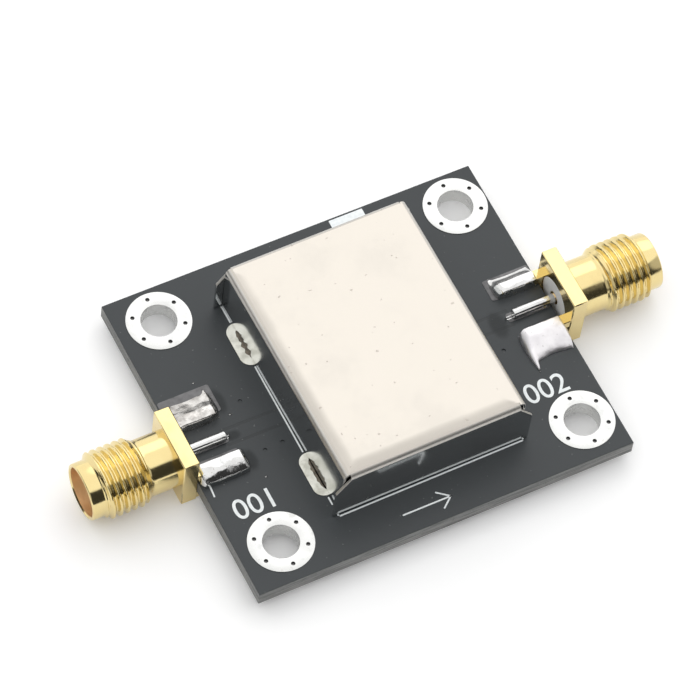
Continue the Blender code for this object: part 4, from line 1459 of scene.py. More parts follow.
@dataclass
class ShieldCan:
    """The folded can: a flat top with a soft crown, four bent walls, ears on the end walls and four tabs."""

    finishes: Finishes
    sheet: float = 0.25 * MM
    bend_radius: float = 0.6 * MM
    bend_steps: int = 12
    ear_box: float = 0.95 * MM
    ear_width: float = 0.72 * MM
    ear_drop: float = 1.75 * MM
    lay_back: Point = (0.12 * MM, 0.08 * MM, 0.0)
    lay_front: Point = (0.0, 0.08 * MM, 0.0)
    turn: float = 0.4
    tab_spacing: float = 14.56 * MM
    tab_width: float = 3.1 * MM
    foot: float = 2.765 * MM
    crown_reach: float = 1.05 * MM
    crown_drop: float = 0.058 * MM
    corner_reach: float = 0.3 * MM
    crown_power: float = 1.5
    crown_warp: float = 0.25
    crown_cuts: tuple[float, ...] = (0.2, 0.4, 0.6, 0.8, 1.0)
    middle_cuts: tuple[float, ...] = (-0.5, 0.0, 0.5)
    wall_cuts: int = 4
    edge_break: float = 0.035 * MM
    low: Vector = field(init=False)
    high: Vector = field(init=False)

    def __post_init__(self) -> None:
        """Reads the can's corners from the frame, without its ears."""
        self.low, self.high = (corner.copy() for corner in box_of("shield_can"))
        self.low.x += self.ear_box
        self.high.x -= self.ear_box
        self.high += Vector(self.lay_back)
        self.low -= Vector(self.lay_front)

    @property
    def centre(self) -> Vector:
        """The middle of the can in plan."""
        middle = (self.low + self.high) / 2
        return Vector((middle.x, middle.y, 0))

    @property
    def half(self) -> Vector:
        """Half the can's size in plan."""
        size = (self.high - self.low) / 2
        return Vector((size.x, size.y, 0))

    @property
    def flat(self) -> Vector:
        """Half the size of the flat between the bends, in plan."""
        return self.half - Vector((self.bend_radius, self.bend_radius, 0))

    def flat_top(self) -> Piece:
        """The flat of the sheet, cut into strips near its rim for the crown."""
        flat = self.flat
        top = primitive("can", bpy.ops.mesh.primitive_plane_add, size=2.0, location=(0, 0, self.high.z))
        top.scale = (flat.x, flat.y, 1.0)
        settle(top)
        with EditMode(top) as edit:
            for axis, reach in (((1, 0, 0), flat.x), ((0, 1, 0), flat.y)):
                rims = [reach - self.crown_reach * share for share in self.crown_cuts]
                places = [side * rim for rim in rims for side in (-1, 1)]
                for place in places + [share * reach for share in self.middle_cuts]:
                    edit.cut(Vector(axis) * place, axis)
        return top

    def fold(self, top: Piece) -> None:
        """Bends the four walls down from the flat and draws them to the foot."""
        drop = self.high.z - self.bend_radius - self.foot
        for direction in (Vector((1, 0, 0)), Vector((-1, 0, 0)), Vector((0, 1, 0)), Vector((0, -1, 0))):
            reach = self.flat.x if direction.x else self.flat.y
            centre = direction * reach + Vector((0, 0, self.high.z - self.bend_radius))
            axis = Vector((0, 0, -1)).cross(direction)
            with EditMode(top) as edit:
                edit.select(Pick.EDGES, lambda side: all(
                    abs(vert.co.dot(direction) - reach) < NEAR and abs(vert.co.z - self.high.z) < NEAR
                    for vert in side.verts))
                bpy.ops.mesh.spin(steps=self.bend_steps, angle=math.pi / 2, center=centre, axis=axis)
                outer = reach + self.bend_radius
                edit.select(Pick.EDGES, lambda side: all(
                    abs(vert.co.dot(direction) - outer) < NEAR for vert in side.verts))
                for _ in range(self.wall_cuts):
                    edit.extrude((0, 0, -drop / self.wall_cuts))

    def widen(self, top: Piece) -> None:
        """Draws the ears of the end walls past the side walls and cuts their upper edge slantwise."""
        rim = self.flat.x
        outer = rim + self.bend_radius + self.ear_width
        share = 1 - self.ear_drop / (self.high.z - self.bend_radius - self.foot)
        for y_sign in (-1, 1):
            for x_sign in (-1, 1):
                with EditMode(top) as edit:
                    edit.select(Pick.EDGES, lambda side: all(
                        abs(vert.co.x - x_sign * rim) < NEAR and abs(vert.co.y - y_sign * self.half.y) < NEAR
                        for vert in side.verts))
                    edit.extrude((x_sign * (self.bend_radius + self.ear_width), 0, 0))
                    shape = bmesh.from_edit_mesh(top.data)
                    for vert in shape.verts:
                        if abs(vert.co.x - x_sign * outer) < NEAR and vert.co.y * y_sign > 0:
                            vert.co.z = self.foot + (vert.co.z - self.foot) * share
                    bmesh.update_edit_mesh(top.data)

    def draw_tabs(self, top: Piece) -> None:
        """Draws the side walls' tabs down through their slots."""
        near = 10 * NEAR
        reach = box_of("shield_can")[0].z - self.foot
        for y_sign in (-1, 1):
            tab_y = y_sign * self.tab_spacing / 2 - self.centre.y
            cuts = (tab_y - self.tab_width / 2, tab_y + self.tab_width / 2)
            with EditMode(top) as edit:
                for cut in cuts:
                    edit.cut((0, cut, 0), (0, 1, 0))
                edit.select(Pick.EDGES, lambda side: all(
                    abs(vert.co.z - self.foot) < near and abs(abs(vert.co.x) - self.half.x) < near
                    and cuts[0] - near < vert.co.y < cuts[1] + near for vert in side.verts))
                edit.extrude((0, 0, reach))

    def crown(self, top: Piece) -> None:
        """Lets the top fall away softly towards the bends, and warps it a little, as on a pressed sheet."""
        flat = self.flat
        start = self.high.z - self.bend_radius - NEAR
        for vert in top.data.vertices:
            inset_x = (flat.x - abs(vert.co.x)) / self.crown_reach
            inset_y = (flat.y - abs(vert.co.y)) / self.crown_reach
            share = max(0.0, 1 - max(0.0, min(inset_x, inset_y)))
            warp = noise.noise(Vector((vert.co.x, vert.co.y, 0)) * 160.0)
            reach = self.crown_drop * (1.0 + self.crown_warp * warp)
            if vert.co.z > start:
                vert.co.z -= reach * share ** self.crown_power
        top.data.update()

    def close_corners(self, top: Piece) -> None:
        """Draws the side walls on towards the end walls, so that only a small notch stays at each corner."""
        flat = self.flat
        for y_sign in (-1, 1):
            with EditMode(top) as edit:
                edit.select(Pick.EDGES, lambda side: side.is_boundary and all(
                    abs(vert.co.y * y_sign - flat.y) < NEAR and abs(vert.co.x) > flat.x - NEAR
                    for vert in side.verts))
                edit.extrude((0, y_sign * self.corner_reach, 0))

    def build(self) -> Piece:
        """Folds the can, gives it its thickness and dresses it."""
        can = self.flat_top()
        self.fold(can)
        self.close_corners(can)
        self.widen(can)
        self.draw_tabs(can)
        with EditMode(can) as edit:
            edit.mend_normals()
        if max(can.data.polygons, key=lambda face: face.center.z).normal.z < 0:
            with EditMode(can):
                bpy.ops.mesh.select_all(action="SELECT")
                bpy.ops.mesh.flip_normals()
        self.crown(can)
        apply_modifier(can, "SOLIDIFY", thickness=self.sheet, offset=-1.0, use_even_offset=True)
        soften(can, self.edge_break, angle=50.0)
        place_mesh(can, Matrix.Translation(self.centre) @ Matrix.Rotation(math.radians(self.turn), 4, "Z"))
        dress(can, self.finishes.can, self.finishes.can_wall_brightened, self.finishes.can_bend)
        # Faces that do not look up get the brightened copy of the sheet, a painted light; the bends get a
        # rougher copy.
        paint_faces(can, 1, lambda face: face.normal.z < 0.5)
        paint_faces(can, 2, lambda face: 0.08 < face.normal.z < 0.93)
        keep_flats(shade(can, 15.0))
        return mount(can, Slot.CAN, "shield_can")


# The jacks


@dataclass
class EdgeJack:
    """One coaxial edge jack, made in its own frame, whose +Z points out of the board and whose -X is up."""

    name: str
    outward: int
    finishes: Finishes
    length: float = 9.9 * MM
    flange: float = 6.35 * MM
    flange_depth: float = 1.5 * MM
    shank: float = 2.65 * MM
    thread: float = 3.175 * MM
    thread_depth: float = 0.4 * MM
    pitch: float = 0.7056 * MM
    thread_start: float = 4.12 * MM
    thread_end: float = 8.62 * MM
    thread_cuts: int = 14
    rim: float = 0.14 * MM
    mouth: float = 2.3 * MM
    bore: float = 2.05 * MM
    mouth_depth: float = 1.9 * MM
    mouth_break: float = 0.12 * MM
    leg_height: float = 0.95 * MM
    leg_width: float = 1.0 * MM
    leg_inset: float = 0.1 * MM
    leg_length: float = 4.2 * MM
    leg_play: float = 0.05 * MM
    rod: float = 0.635 * MM
    socket: float = 0.475 * MM
    socket_depth: float = 2.6 * MM
    socket_slit: float = 0.2 * MM
    slit_depth: float = 2.2 * MM
    pin: float = 0.45 * MM
    start_angle: float = 0.9
    low: Vector = field(init=False)
    high: Vector = field(init=False)

    def __post_init__(self) -> None:
        """Reads the jack's place from the frame."""
        self.low, self.high = box_of(f"{self.name}_jack_body")

    @property
    def axis(self) -> Vector:
        """A point of the jack's axis, on the board side of its flange."""
        x = self.low.x + self.length if self.outward < 0 else self.high.x - self.length
        return Vector((x, (self.low.y + self.high.y) / 2, (self.low.z + self.high.z) / 2))

    @property
    def frame(self) -> Matrix:
        """The jack's own frame in the row frame."""
        lay_down = Matrix.Rotation(math.pi / 2, 4, "Y")
        turn = Matrix.Rotation(math.pi, 4, "Z") if self.outward < 0 else Matrix.Identity(4)
        return Matrix.Translation(self.axis) @ turn @ lay_down

    @property
    def plane(self) -> float:
        """How far the bead's outer face is from the board side of the flange."""
        return self.length - self.mouth_depth

    @property
    def board_edge(self) -> float:
        """The X of the board's side that the jack sits on."""
        low, high = box_of("circuit_board")
        return high.x if self.outward > 0 else low.x

    def leg_rows(self) -> Iterator[tuple[float, float, float, float]]:
        """The X and Y bounds of the four legs in the jack's own frame."""
        board_low, board_high = box_of("circuit_board")
        top, bottom = self.axis.z - board_high.z, self.axis.z - board_low.z
        outer = self.flange / 2 - self.leg_inset
        for side in (-1, 1):
            y_low, y_high = sorted((side * outer, side * (outer - self.leg_width)))
            yield top - self.leg_play - self.leg_height, top - self.leg_play, y_low, y_high
            yield bottom + self.leg_play, bottom + self.leg_play + self.leg_height, y_low, y_high

    def barrel(self) -> Piece:
        """The shank, thread and collar: turned with close stations along the thread, which is then cut."""
        span = self.thread_end - self.thread_start
        steps = int(span / self.pitch * self.thread_cuts)
        inside, rim = self.flange_depth / 2, self.rim
        threaded = [(self.thread, self.thread_start + span * index / steps) for index in range(steps + 1)]
        profile = [(0, inside), (self.shank, inside), (self.shank, 2.4 * MM),
                   (self.shank, self.thread_start - 0.2 * MM), *threaded,
                   (self.shank, self.thread_end + 0.03 * MM), (self.shank, self.length - rim),
                   (self.shank - rim * 0.3, self.length - rim * 0.35), (self.shank - rim, self.length),
                   (0, self.length)]
        barrel = turned(f"{self.name}_barrel", [Vector((r, 0, z)) for r, z in profile], False)
        for vert in barrel.data.vertices:
            radius = math.hypot(vert.co.x, vert.co.y)
            if radius > self.thread - 1e-6:
                scale = self.thread_radius(vert.co.z, math.atan2(vert.co.y, vert.co.x)) / radius
                vert.co.x *= scale
                vert.co.y *= scale
        return barrel

    def thread_radius(self, height: float, angle: float) -> float:
        """The radius of the right-handed thread at a height and an angle about the axis.

        Args:
            height: Distance from the board side of the flange.
            angle: Angle about the axis, in radians.

        Returns:
            The radius, which runs out into the shank at one end and is chamfered at the other.
        """
        phase = (height / self.pitch - (angle + self.start_angle) / (2 * math.pi)) % 1.0
        flank = min(1.0, max(0.0, (abs(phase - 0.5) * 2 - 0.16) / 0.68))
        flank = 0.65 * flank + 0.35 * flank * flank * (3 - 2 * flank)
        radius = self.thread - self.thread_depth * (1 - flank)
        run_out = self.shank + (height - self.thread_start) * 0.75
        chamfer = self.shank + (self.thread_end - height) * 1.5
        return max(self.shank, min(radius, run_out, chamfer))

    def model_body(self) -> Piece:
        """Joins barrel, flange and legs and bores them."""
        half = self.flange / 2
        body = cube("body_pattern", (-half, -half, 0), (half, half, self.flange_depth))
        soften(body, 0.09 * MM, 1)
        for x_low, x_high, y_low, y_high in self.leg_rows():
            leg = cube("leg", (x_low, y_low, -self.leg_length), (x_high, y_high, self.flange_depth / 3))
            soften(leg, 0.06 * MM, 1)
            combine(body, leg, "UNION")
        combine(body, self.barrel(), "UNION")
        lip, far = self.mouth_break, self.length + MM
        profile = [(0, far), (self.mouth + MM + lip, far), (self.mouth, self.length - lip),
                   (self.mouth, self.plane), (self.bore, self.plane), (self.bore, -MM), (0, -MM)]
        cutter = turned("bore_cutter", [Vector((r, 0, z)) for r, z in profile], False)
        combine(body, cutter, "DIFFERENCE")
        dress(body, self.finishes.contact, self.finishes.bore)
        paint_faces(body, 1, lambda face: face.center.z > -0.1 * MM and self.faces_axis(face))
        return body

    def faces_axis(self, face: bpy.types.MeshPolygon) -> bool:
        """Whether a face of the body lines its bore."""
        centre, normal = face.center, face.normal
        reach = math.hypot(centre.x, centre.y)
        return reach < self.mouth + 0.02 * MM and centre.x * normal.x + centre.y * normal.y < -0.6 * reach

    def model_insulator(self) -> Piece:
        """The bead that carries the contact."""
        outer, inner, ease = self.bore - SEAT_GAP, self.rod + SEAT_GAP, 0.05 * MM
        corners = [Corner(inner, self.plane, ease), Corner(outer, self.plane, ease),
                   Corner(outer, 0.0, ease), Corner(inner, 0.0, ease)]
        bead = turned("insulator_pattern", rounded_outline(corners, True), True)
        return dress(bead, self.finishes.insulator)

    def model_contact(self) -> Piece:
        """The centre contact: its slotted socket is gold, and its soldered pin is tinned."""
        plane, tail = self.plane, -self.leg_length
        corners = [Corner(0.0, plane - self.socket_depth), Corner(self.socket, plane - self.socket_depth),
                   Corner(self.socket, plane, 0.04 * MM), Corner(self.rod, plane, 0.06 * MM),
                   Corner(self.rod, 0.0, 0.02 * MM), Corner(self.pin, 0.0), Corner(self.pin, tail, 0.12 * MM),
                   Corner(0.0, tail)]
        contact = turned("contact_pattern", rounded_outline(corners, False), False, 48)
        slit, reach = self.socket_slit / 2, self.rod * 2
        low, high = plane - self.slit_depth, plane + MM
        for size in ((reach, slit), (slit, reach)):
            combine(contact, cube("slit", (-size[0], -size[1], low), (size[0], size[1], high)), "DIFFERENCE")
        dress(contact, self.finishes.contact, self.finishes.solder)
        paint_faces(contact, 1, lambda face: face.center.z < -0.25 * MM)
        return contact

    def model(self) -> dict[str, Piece]:
        """Models the jack's three pieces in the jack's own frame."""
        return {"body": self.model_body(), "insulator": self.model_insulator(),
                "contact": self.model_contact()}

    def build(self, patterns: dict[str, Piece]) -> None:
        """Copies the three pieces into this jack's place and finishes them.

        Args:
            patterns: The pieces in the jack's own frame, by part.
        """
        for part, slot in (("body", Slot.GOLD), ("insulator", Slot.INSULATOR), ("contact", Slot.GOLD)):
            piece = copy_of(patterns[part], f"{self.name}_{part}")
            place_mesh(piece, self.frame)
            shade(piece, 42.0)
            if part == "body":
                gold = TurnedGoldFinish().material(f"{self.name}_gold", self.axis.y, self.axis.z)
                piece.data.materials[0] = gold
                keep_flats(piece)
            mount(piece, slot, f"{self.name}_jack_{part}")


# Solder


@dataclass(frozen=True)
class SolderShape:
    """How one joint flowed: its reach past the leg, its fillets and how lumpy it is."""

    length: float
    inner_flow: float
    outer_flow: float
    inner_power: float
    outer_power: float
    end_power: float
    crown: float
    lumps: float
    hollow: float = 0.0
    spike: float = 0.0
    seed: float = 0.0
    finish: Flow = Flow.BRIGHT
    end_run: float = 0.65 * MM


SOLDER_SHAPES = {
    "input_front": SolderShape(
        length=4.85 * MM, inner_flow=0.4 * MM, outer_flow=0.95 * MM, inner_power=0.5, outer_power=0.36,
        end_power=0.33, crown=0.24 * MM, lumps=0.10 * MM, seed=3.0, end_run=0.55 * MM),
    "input_back": SolderShape(
        length=4.7 * MM, inner_flow=0.16 * MM, outer_flow=1.95 * MM, inner_power=0.3, outer_power=1.1,
        end_power=0.4, crown=0.08 * MM, lumps=0.14 * MM, hollow=0.1, spike=0.2, seed=11.0, finish=Flow.DULL),
    "output_front": SolderShape(
        length=4.4 * MM, inner_flow=0.2 * MM, outer_flow=2.3 * MM, inner_power=0.35, outer_power=0.6,
        end_power=0.4, crown=0.03 * MM, lumps=0.05 * MM, hollow=0.18, spike=0.4, seed=7.0, finish=Flow.SATIN),
    "output_back": SolderShape(
        length=4.25 * MM, inner_flow=0.12 * MM, outer_flow=1.3 * MM, inner_power=0.3, outer_power=1.9,
        end_power=0.3, crown=0.05 * MM, lumps=0.05 * MM, hollow=0.1, spike=0.1, seed=5.0),
}
LOWER_SHAPE = SolderShape(
    length=4.5 * MM, inner_flow=0.45 * MM, outer_flow=0.8 * MM, inner_power=1.4, outer_power=1.5,
    end_power=0.6, crown=-0.12 * MM, lumps=0.05 * MM, seed=17.0)


@dataclass
class LegSolder:
    """The solder that buries one leg, as a soft sheet over the pad, closed below."""

    jack: EdgeJack
    row: str
    upper: bool
    finishes: Finishes
    cells: tuple[int, int] = (44, 36)
    edge_margin: float = 0.12 * MM
    start_share: float = 0.62
    start_rise: float = 6.0
    leg_camber: float = 0.04
    rounding: float = 0.22
    lump_scale: float = 900.0
    thinnest: float = 0.012 * MM

    @property
    def shape(self) -> SolderShape:
        """The way this joint flowed."""
        return SOLDER_SHAPES[f"{self.jack.name}_{self.row}"] if self.upper else LOWER_SHAPE

    def stations(self) -> tuple[float, float, float, float]:
        """The Y of the inner foot, the leg's inner and outer side, and the outer foot."""
        sign = 1 if self.row == "back" else -1
        outer = self.jack.flange / 2 - self.jack.leg_inset
        inner = outer - self.jack.leg_width
        spots = (inner - self.shape.inner_flow, inner, outer, outer + self.shape.outer_flow)
        return tuple(self.jack.axis.y + sign * spot for spot in spots)

    def height(self, along: float, y: float, outer_foot: float) -> float:
        """The surface's height as a share of the crest.

        Args:
            along: Share of the joint's length, from the board's edge inwards.
            y: Place across the joint.
            outer_foot: Where the fillet ends at this place along the joint.

        Returns:
            The share, from 0 at the foot to about 1 over the leg.
        """
        inner_foot, inner, outer, _ = self.stations()
        if (y - inner) * (outer - inner) < 0:
            across = max(0.0, (y - inner_foot) / (inner - inner_foot)) ** self.shape.inner_power
        elif (y - outer) * (outer - inner) > 0:
            across = max(0.0, (outer_foot - y) / (outer_foot - outer)) ** self.shape.outer_power
        else:
            across = 1.0 + self.leg_camber * math.sin(math.pi * (y - inner) / (outer - inner))
        fall = self.shape.end_run / self.shape.length
        end = 1.0
        if along > 1 - fall:
            end = max(0.0, (1 - along) / fall) ** self.shape.end_power
        start = min(1.0, self.start_share + along * self.start_rise)
        return across * end * start

    def spread(self, a: float, b: float) -> Pair:
        """Finds where a point of the grid goes, with the joint's corners rounded off.

        Args:
            a: The point's place along the grid, from -1 to 1.
            b: Its place across the grid, from -1 to 1.

        Returns:
            Its shares along and across the joint.
        """
        along = (a * math.sqrt(1 - self.rounding * b * b) / math.sqrt(0.9) * 0.975 + 1) / 2
        across = (b * math.sqrt(1 - self.rounding * a * a) * 1.02 + 1) / 2
        return min(1.0, max(0.0, along)), min(1.0, max(0.0, across))

    def build(self) -> Piece:
        """Builds the joint from a grid and cuts the leg's space out of it."""
        face = "top" if self.upper else "bottom"
        board_low, board_high = box_of("circuit_board")
        up = 1 if self.upper else -1
        foot = board_high.z + SEAT_GAP if self.upper else board_low.z - SEAT_GAP
        crest = self.jack.leg_play + self.jack.leg_height + self.shape.crown
        edge_x = self.jack.board_edge - self.jack.outward * self.edge_margin
        inner_foot, _, outer_side, outer_foot = self.stations()
        columns, rows = self.cells
        blob = primitive(f"{self.jack.name}_{self.row}_solder_{face}", bpy.ops.mesh.primitive_grid_add,
                         x_subdivisions=columns, y_subdivisions=rows, size=2.0, location=(0, 0, 0))
        seed = Vector((self.shape.seed, self.shape.seed * 1.7, 0.0))
        for vert in blob.data.vertices:
            a, b = vert.co.x, vert.co.y
            along, across = self.spread(a, b)
            reach = 1 - self.shape.hollow * math.sin(math.pi * along)
            reach += self.shape.spike * math.exp(-((along - 0.93) / 0.05) ** 2)
            local_foot = outer_side + (outer_foot - outer_side) * reach
            y = inner_foot + (local_foot - inner_foot) * across
            x = edge_x - self.jack.outward * self.shape.length * along
            rise = self.height(along, y, local_foot)
            lump = noise.noise(Vector((x, y, 0)) * self.lump_scale + seed)
            lump *= self.shape.lumps * min(1.0, rise * 2.0)
            at_rim = max(abs(a), abs(b)) > 0.999
            level = self.thinnest if at_rim else max(self.thinnest, crest * rise + lump)
            vert.co = Vector((x, y, foot + up * level))
        with EditMode(blob) as edit:
            edit.select(Pick.EDGES, lambda side: side.is_boundary)
            edit.extrude((0, 0, 0))
            edit.scale((1, 1, 0), (0, 0, foot))
            bpy.ops.mesh.edge_face_add()
            edit.mend_normals()
        self.cut_leg(blob)
        shade(dress(blob, self.finishes.joints[self.shape.finish]), 60.0)
        return mount(blob, Slot.SOLDER, f"{self.jack.name}_solder_{self.row}_{face}")

    def cut_leg(self, blob: Piece) -> None:
        """Cuts the space of the leg, a little wider than the leg itself, out of the solder."""
        sign = (1 if self.row == "back" else -1) * self.jack.outward
        grown = CUT_PLAY
        for index, (x_low, x_high, y_low, y_high) in enumerate(self.jack.leg_rows()):
            if (y_low + y_high) * sign > 0 and (index % 2 == 0) == self.upper:
                space = cube("leg_space", (x_low - grown, y_low - grown, -self.jack.leg_length - grown),
                             (x_high + grown, y_high + grown, MM))
                place_mesh(space, self.jack.frame)
                combine(blob, space, "DIFFERENCE")


@dataclass
class PinSolder:
    """The seam of solder along a jack's pin."""

    jack: EdgeJack
    finishes: Finishes
    length: float = 4.3 * MM
    width: float = 1.12 * MM
    height: float = 0.4 * MM
    setback: float = 0.35 * MM
    lumps: float = 0.05 * MM
    cutter_length: float = 20.0 * MM
    pin_end: float = 5.87 * MM

    def build(self) -> Piece:
        """Builds the seam: a long cushion that is hollowed by the pin."""
        top = box_of("circuit_board")[1].z
        edge = self.jack.board_edge - self.jack.outward * self.setback
        far = edge - self.jack.outward * self.length
        y = self.jack.axis.y
        low = (min(edge, far), y - self.width / 2, top + SEAT_GAP)
        high = (max(edge, far), y + self.width / 2, top + self.height)
        seam = cube(f"{self.jack.name}_pin_solder", low, high)
        middle = (low[0] + high[0]) / 2
        with EditMode(seam) as edit:
            edit.select(Pick.FACES, lambda face: face.normal.z > 0.5)
            edit.scale((0.93, 0.45, 1), (middle, y, high[2]))
            edit.select(Pick.VERTS, lambda vert: (vert.co.x - middle) * self.jack.outward < 0)
            edit.scale((1, 0.3, 1), (middle, y, low[2]))
            bpy.ops.mesh.select_all(action="SELECT")
            bpy.ops.mesh.subdivide(number_cuts=2)
        apply_modifier(seam, "SUBSURF", levels=3, render_levels=3)
        for vert in seam.data.vertices:
            if vert.co.z > low[2] + self.lumps:
                vert.co.z += self.lumps * noise.noise(vert.co * 1500.0)
            vert.co.z = max(vert.co.z, low[2])
        place = (edge + self.jack.outward * self.pin_end, y, self.jack.axis.z)
        space = primitive("pin_space", bpy.ops.mesh.primitive_cylinder_add, vertices=48,
                          depth=self.cutter_length, radius=self.jack.pin + CUT_PLAY, location=place,
                          rotation=(0, math.pi / 2, 0))
        combine(seam, settle(space), "DIFFERENCE")
        shade(dress(seam, self.finishes.solder), 60.0)
        return mount(seam, Slot.SOLDER, f"{self.jack.name}_solder_pin")


@dataclass
class TabSolder:
    """The solder round the ends of the tabs, under the board: one low dome and its copies."""

    board: CircuitBoard
    finishes: Finishes

    softness: float = 0.16 * MM
    lumps: float = 0.03 * MM

    def model(self, corner: str) -> Piece:
        """Builds a low oval dome, softened all round."""
        node = "tab_solder_" + corner
        low, high = box_of(node)
        centre = centre_of(node)
        dome = oval(f"tab_joint_{corner}", high.y - low.y, high.x - low.x, low.z, high.z, centre, 40)
        with EditMode(dome) as edit:
            edit.select(Pick.FACES, lambda face: face.normal.z < -0.5)
            edit.scale((0.62, 0.82, 1), (centre.x, centre.y, low.z))
        soften(dome, self.softness, 4, 25.0)
        for vert in dome.data.vertices:
            if vert.co.z < high.z - 0.02 * MM:
                vert.co.z += self.lumps * noise.noise(vert.co * 1100.0)
        return shade(dress(dome, self.finishes.solder), 60.0)

    def build(self) -> None:
        """Models the first joint and copies it to the other tabs."""
        first, *others = self.board.corners
        dome, start = self.model(first), centre_of("tab_solder_" + first)
        for corner in others:
            twin = copy_of(dome, "tab_joint_" + corner)
            place_mesh(twin, Matrix.Translation(centre_of("tab_solder_" + corner) - start))
            mount(twin, Slot.SOLDER, "tab_solder_" + corner)
        mount(dome, Slot.SOLDER, "tab_solder_" + first)


@dataclass
class SolderSpecks:
    """Tiny beads of solder that splashed on the mask."""

    board: CircuitBoard
    finishes: Finishes
    places: tuple[tuple[float, float, float], ...] = (
        (-13.1 * MM, 1.3 * MM, 0.11 * MM), (-13.0 * MM, -5.65 * MM, 0.1 * MM),
        (-14.7 * MM, 5.5 * MM, 0.08 * MM), (10.9 * MM, 1.7 * MM, 0.08 * MM),
        (14.2 * MM, -6.1 * MM, 0.07 * MM))
    squash: Point = (1.3, 0.9, 0.5)

    def build(self) -> Piece:
        """Builds the beads as one piece of flattened drops."""
        beads = []
        face = self.board.high.z
        for index, (x, y, radius) in enumerate(self.places):
            bead = primitive(f"bead_{index}", bpy.ops.mesh.primitive_uv_sphere_add, segments=20,
                             ring_count=12, radius=radius, location=(x, y, face + radius * 0.25))
            bead.scale = self.squash
            settle(bead)
            with EditMode(bead) as edit:
                edit.cut((0, 0, face), (0, 0, 1), clear_inner=True, use_fill=True)
            beads.append(bead)
        specks = rename(join(beads), "solder_specks")
        shade(dress(specks, self.finishes.solder), 60.0)
        return mount(specks, Slot.SOLDER)


class Chips:
    """The chip parts under the can, which keep their CAD shapes."""

    def dress_all(self, nodes: dict[str, Piece]) -> None:
        """Gives each chip a finish of its own.

        Args:
            nodes: The CAD nodes' objects, by name.
        """
        for name, item in nodes.items():
            finish = {"capacitor": CAPACITOR, "inductor": INDUCTOR}.get(name.rsplit("_", 1)[0])
            if finish is not None:
                dress(item, finish.material(name))


# The studio


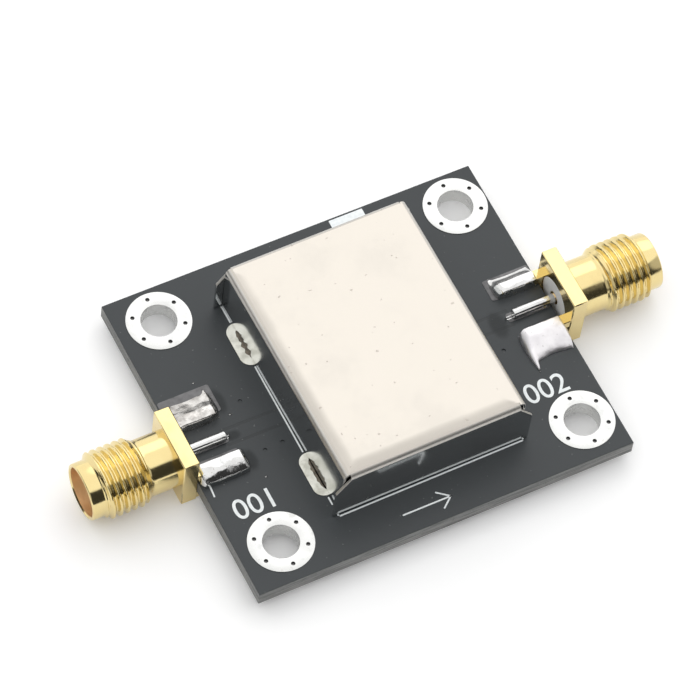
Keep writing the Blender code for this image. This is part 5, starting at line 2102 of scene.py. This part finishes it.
@dataclass
class Studio:
    """A pale floor, a soft sky with one broad softbox and a dark front, and the camera."""

    camera_place: Point = (-0.12835, -0.18159, 0.37512)
    azimuth: float = 34.75
    elevation: float = 58.92
    roll: float = -9.21
    lens: float = 250.2
    sensor: float = 36.0
    sight: Pair = (0.01, 20.0)
    floor_size: float = 4.0
    floor_colour: Colour = (0.93, 0.93, 0.93)
    floor_lift: float = 0.12
    dome: float = 1.25
    softbox: float = 1.85
    gloom: float = 0.045
    tilt: float = 19.0
    gloom_edge: Pair = (0.455, 0.575)
    gloom_side: Point = (-0.65, -0.76, 0.0)
    gloom_side_edge: Pair = (-0.05, -0.45)
    side_light: float = 0.62
    side_light_edge: Pair = (0.875, 0.951)
    side_lights: tuple[Point, ...] = ((0.72, -0.51, 0.47), (-0.72, -0.51, 0.47))
    softbox_direction: Point = (0.45, 0.585, 0.674)
    softbox_edge: Pair = (24.5, 19.0)

    def build_camera(self) -> None:
        """Places the camera by its azimuth, elevation and roll."""
        azimuth, elevation = math.radians(self.azimuth), math.radians(self.elevation)
        forward = Vector((math.sin(azimuth) * math.cos(elevation), math.cos(azimuth) * math.cos(elevation),
                          -math.sin(elevation)))
        level_right = forward.cross(Vector((0, 0, 1))).normalized()
        level_down = forward.cross(level_right)
        roll = math.radians(self.roll)
        right = level_right * math.cos(roll) + level_down * math.sin(roll)
        down = forward.cross(right)
        data = bpy.data.cameras.new("camera")
        data.lens, data.sensor_width = self.lens, self.sensor
        data.clip_start, data.clip_end = self.sight
        camera = bpy.data.objects.new("camera", data)
        bpy.context.scene.collection.objects.link(camera)
        camera.matrix_world = Matrix.Translation(self.camera_place) @ Matrix(
            (right, -down, -forward)).transposed().to_4x4()
        bpy.context.scene.camera = camera

    def build_floor(self) -> None:
        """Lays the floor, which the camera and reflections see as white where no shadow falls."""
        floor = primitive("floor", bpy.ops.mesh.primitive_plane_add, size=self.floor_size, location=(0, 0, 0))
        material, graph = new_material("pale_floor")
        rays = graph.node("ShaderNodeLightPath", {}, {})
        seen = Value(graph, rays.outputs["Is Camera Ray"]).most(Value(graph, rays.outputs["Is Glossy Ray"]))
        seen = seen.most(Value(graph, rays.outputs["Is Transmission Ray"]))
        paper = graph.node("ShaderNodeBsdfDiffuse", {}, {"Color": self.floor_colour})
        glow = {"Color": (1.0, 1.0, 1.0), "Strength": seen * self.floor_lift}
        lift = graph.node("ShaderNodeEmission", {}, glow)
        both = graph.node("ShaderNodeAddShader", {}, {})
        graph.feed(both.inputs[0], paper.outputs[0])
        graph.feed(both.inputs[1], lift.outputs[0])
        graph.node("ShaderNodeOutputMaterial", {}, {"Surface": both.outputs[0]})
        dress(floor, material)

    def build_sky(self) -> None:
        """Lights the scene: a bright dome, a softbox, a dark front near the horizon and two side lights."""
        world = bpy.data.worlds.new("studio")
        bpy.context.scene.world = world
        world.use_nodes = True
        graph = Graph(world.node_tree)
        direction = graph.node("ShaderNodeTexCoord", {}, {}).outputs["Generated"]

        def towards(vector: Sequence[float]) -> Value:
            """How far a direction points along a vector."""
            node = graph.node("ShaderNodeVectorMath", {"operation": "DOT_PRODUCT"}, {})
            graph.feed(node.inputs[0], direction)
            graph.feed(node.inputs[1], tuple(vector))
            return Value(graph, node.outputs["Value"])

        tilt = math.radians(self.tilt)
        lit = towards((0, math.sin(tilt), math.cos(tilt))).step(*self.gloom_edge)
        lit = lit.most(towards(self.gloom_side).step(*self.gloom_side_edge))
        box_edge = (math.cos(math.radians(angle)) for angle in self.softbox_edge)
        box = towards(self.softbox_direction).step(*box_edge)
        strength = self.gloom + (self.dome - self.gloom) * lit + (self.softbox - self.dome) * box
        for place in self.side_lights:
            strength = strength.most(self.side_light * towards(place).step(*self.side_light_edge))
        camera = Value(graph, graph.node("ShaderNodeLightPath", {}, {}).outputs["Is Camera Ray"])
        strength = strength * (1 - camera) + camera
        sky = graph.node("ShaderNodeBackground", {}, {"Color": (1.0, 1.0, 1.0), "Strength": strength})
        graph.node("ShaderNodeOutputWorld", {}, {"Surface": sky.outputs[0]})

    def build(self) -> None:
        """Builds the studio."""
        self.build_camera()
        self.build_floor()
        self.build_sky()
        bpy.context.scene.view_settings.view_transform = "Standard"


def main() -> None:
    """Builds the filter's looks round its frame."""
    logging.basicConfig(level=logging.INFO, format="%(name)s %(message)s")
    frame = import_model()
    deselect_all()
    Studio().build()
    finishes = Finishes()
    jacks = [EdgeJack("input", -1, finishes), EdgeJack("output", 1, finishes)]
    input_y, output_y = (jack.axis.y for jack in jacks)
    board = CircuitBoard(finishes)
    board.build(input_y, output_y)
    MountingRing(board).build(finishes.tin)
    TabSolder(board, finishes).build()
    for corner in board.corners:
        SlotSleeve(corner, finishes).build(finishes.land_tin)
    SolderPads(board, finishes).build(input_y, output_y)
    SilkPrint(board, finishes).build()
    ShieldCan(finishes).build()
    patterns = jacks[0].model()
    for jack in jacks:
        jack.build(patterns)
        PinSolder(jack, finishes).build()
        for row in ("front", "back"):
            for upper in (True, False):
                LegSolder(jack, row, upper, finishes).build()
    for pattern in patterns.values():
        bpy.data.objects.remove(pattern, do_unlink=True)
    SolderSpecks(board, finishes).build()
    Chips().dress_all(frame["nodes"])
    deselect_all()


if __name__ == "__main__":
    main()
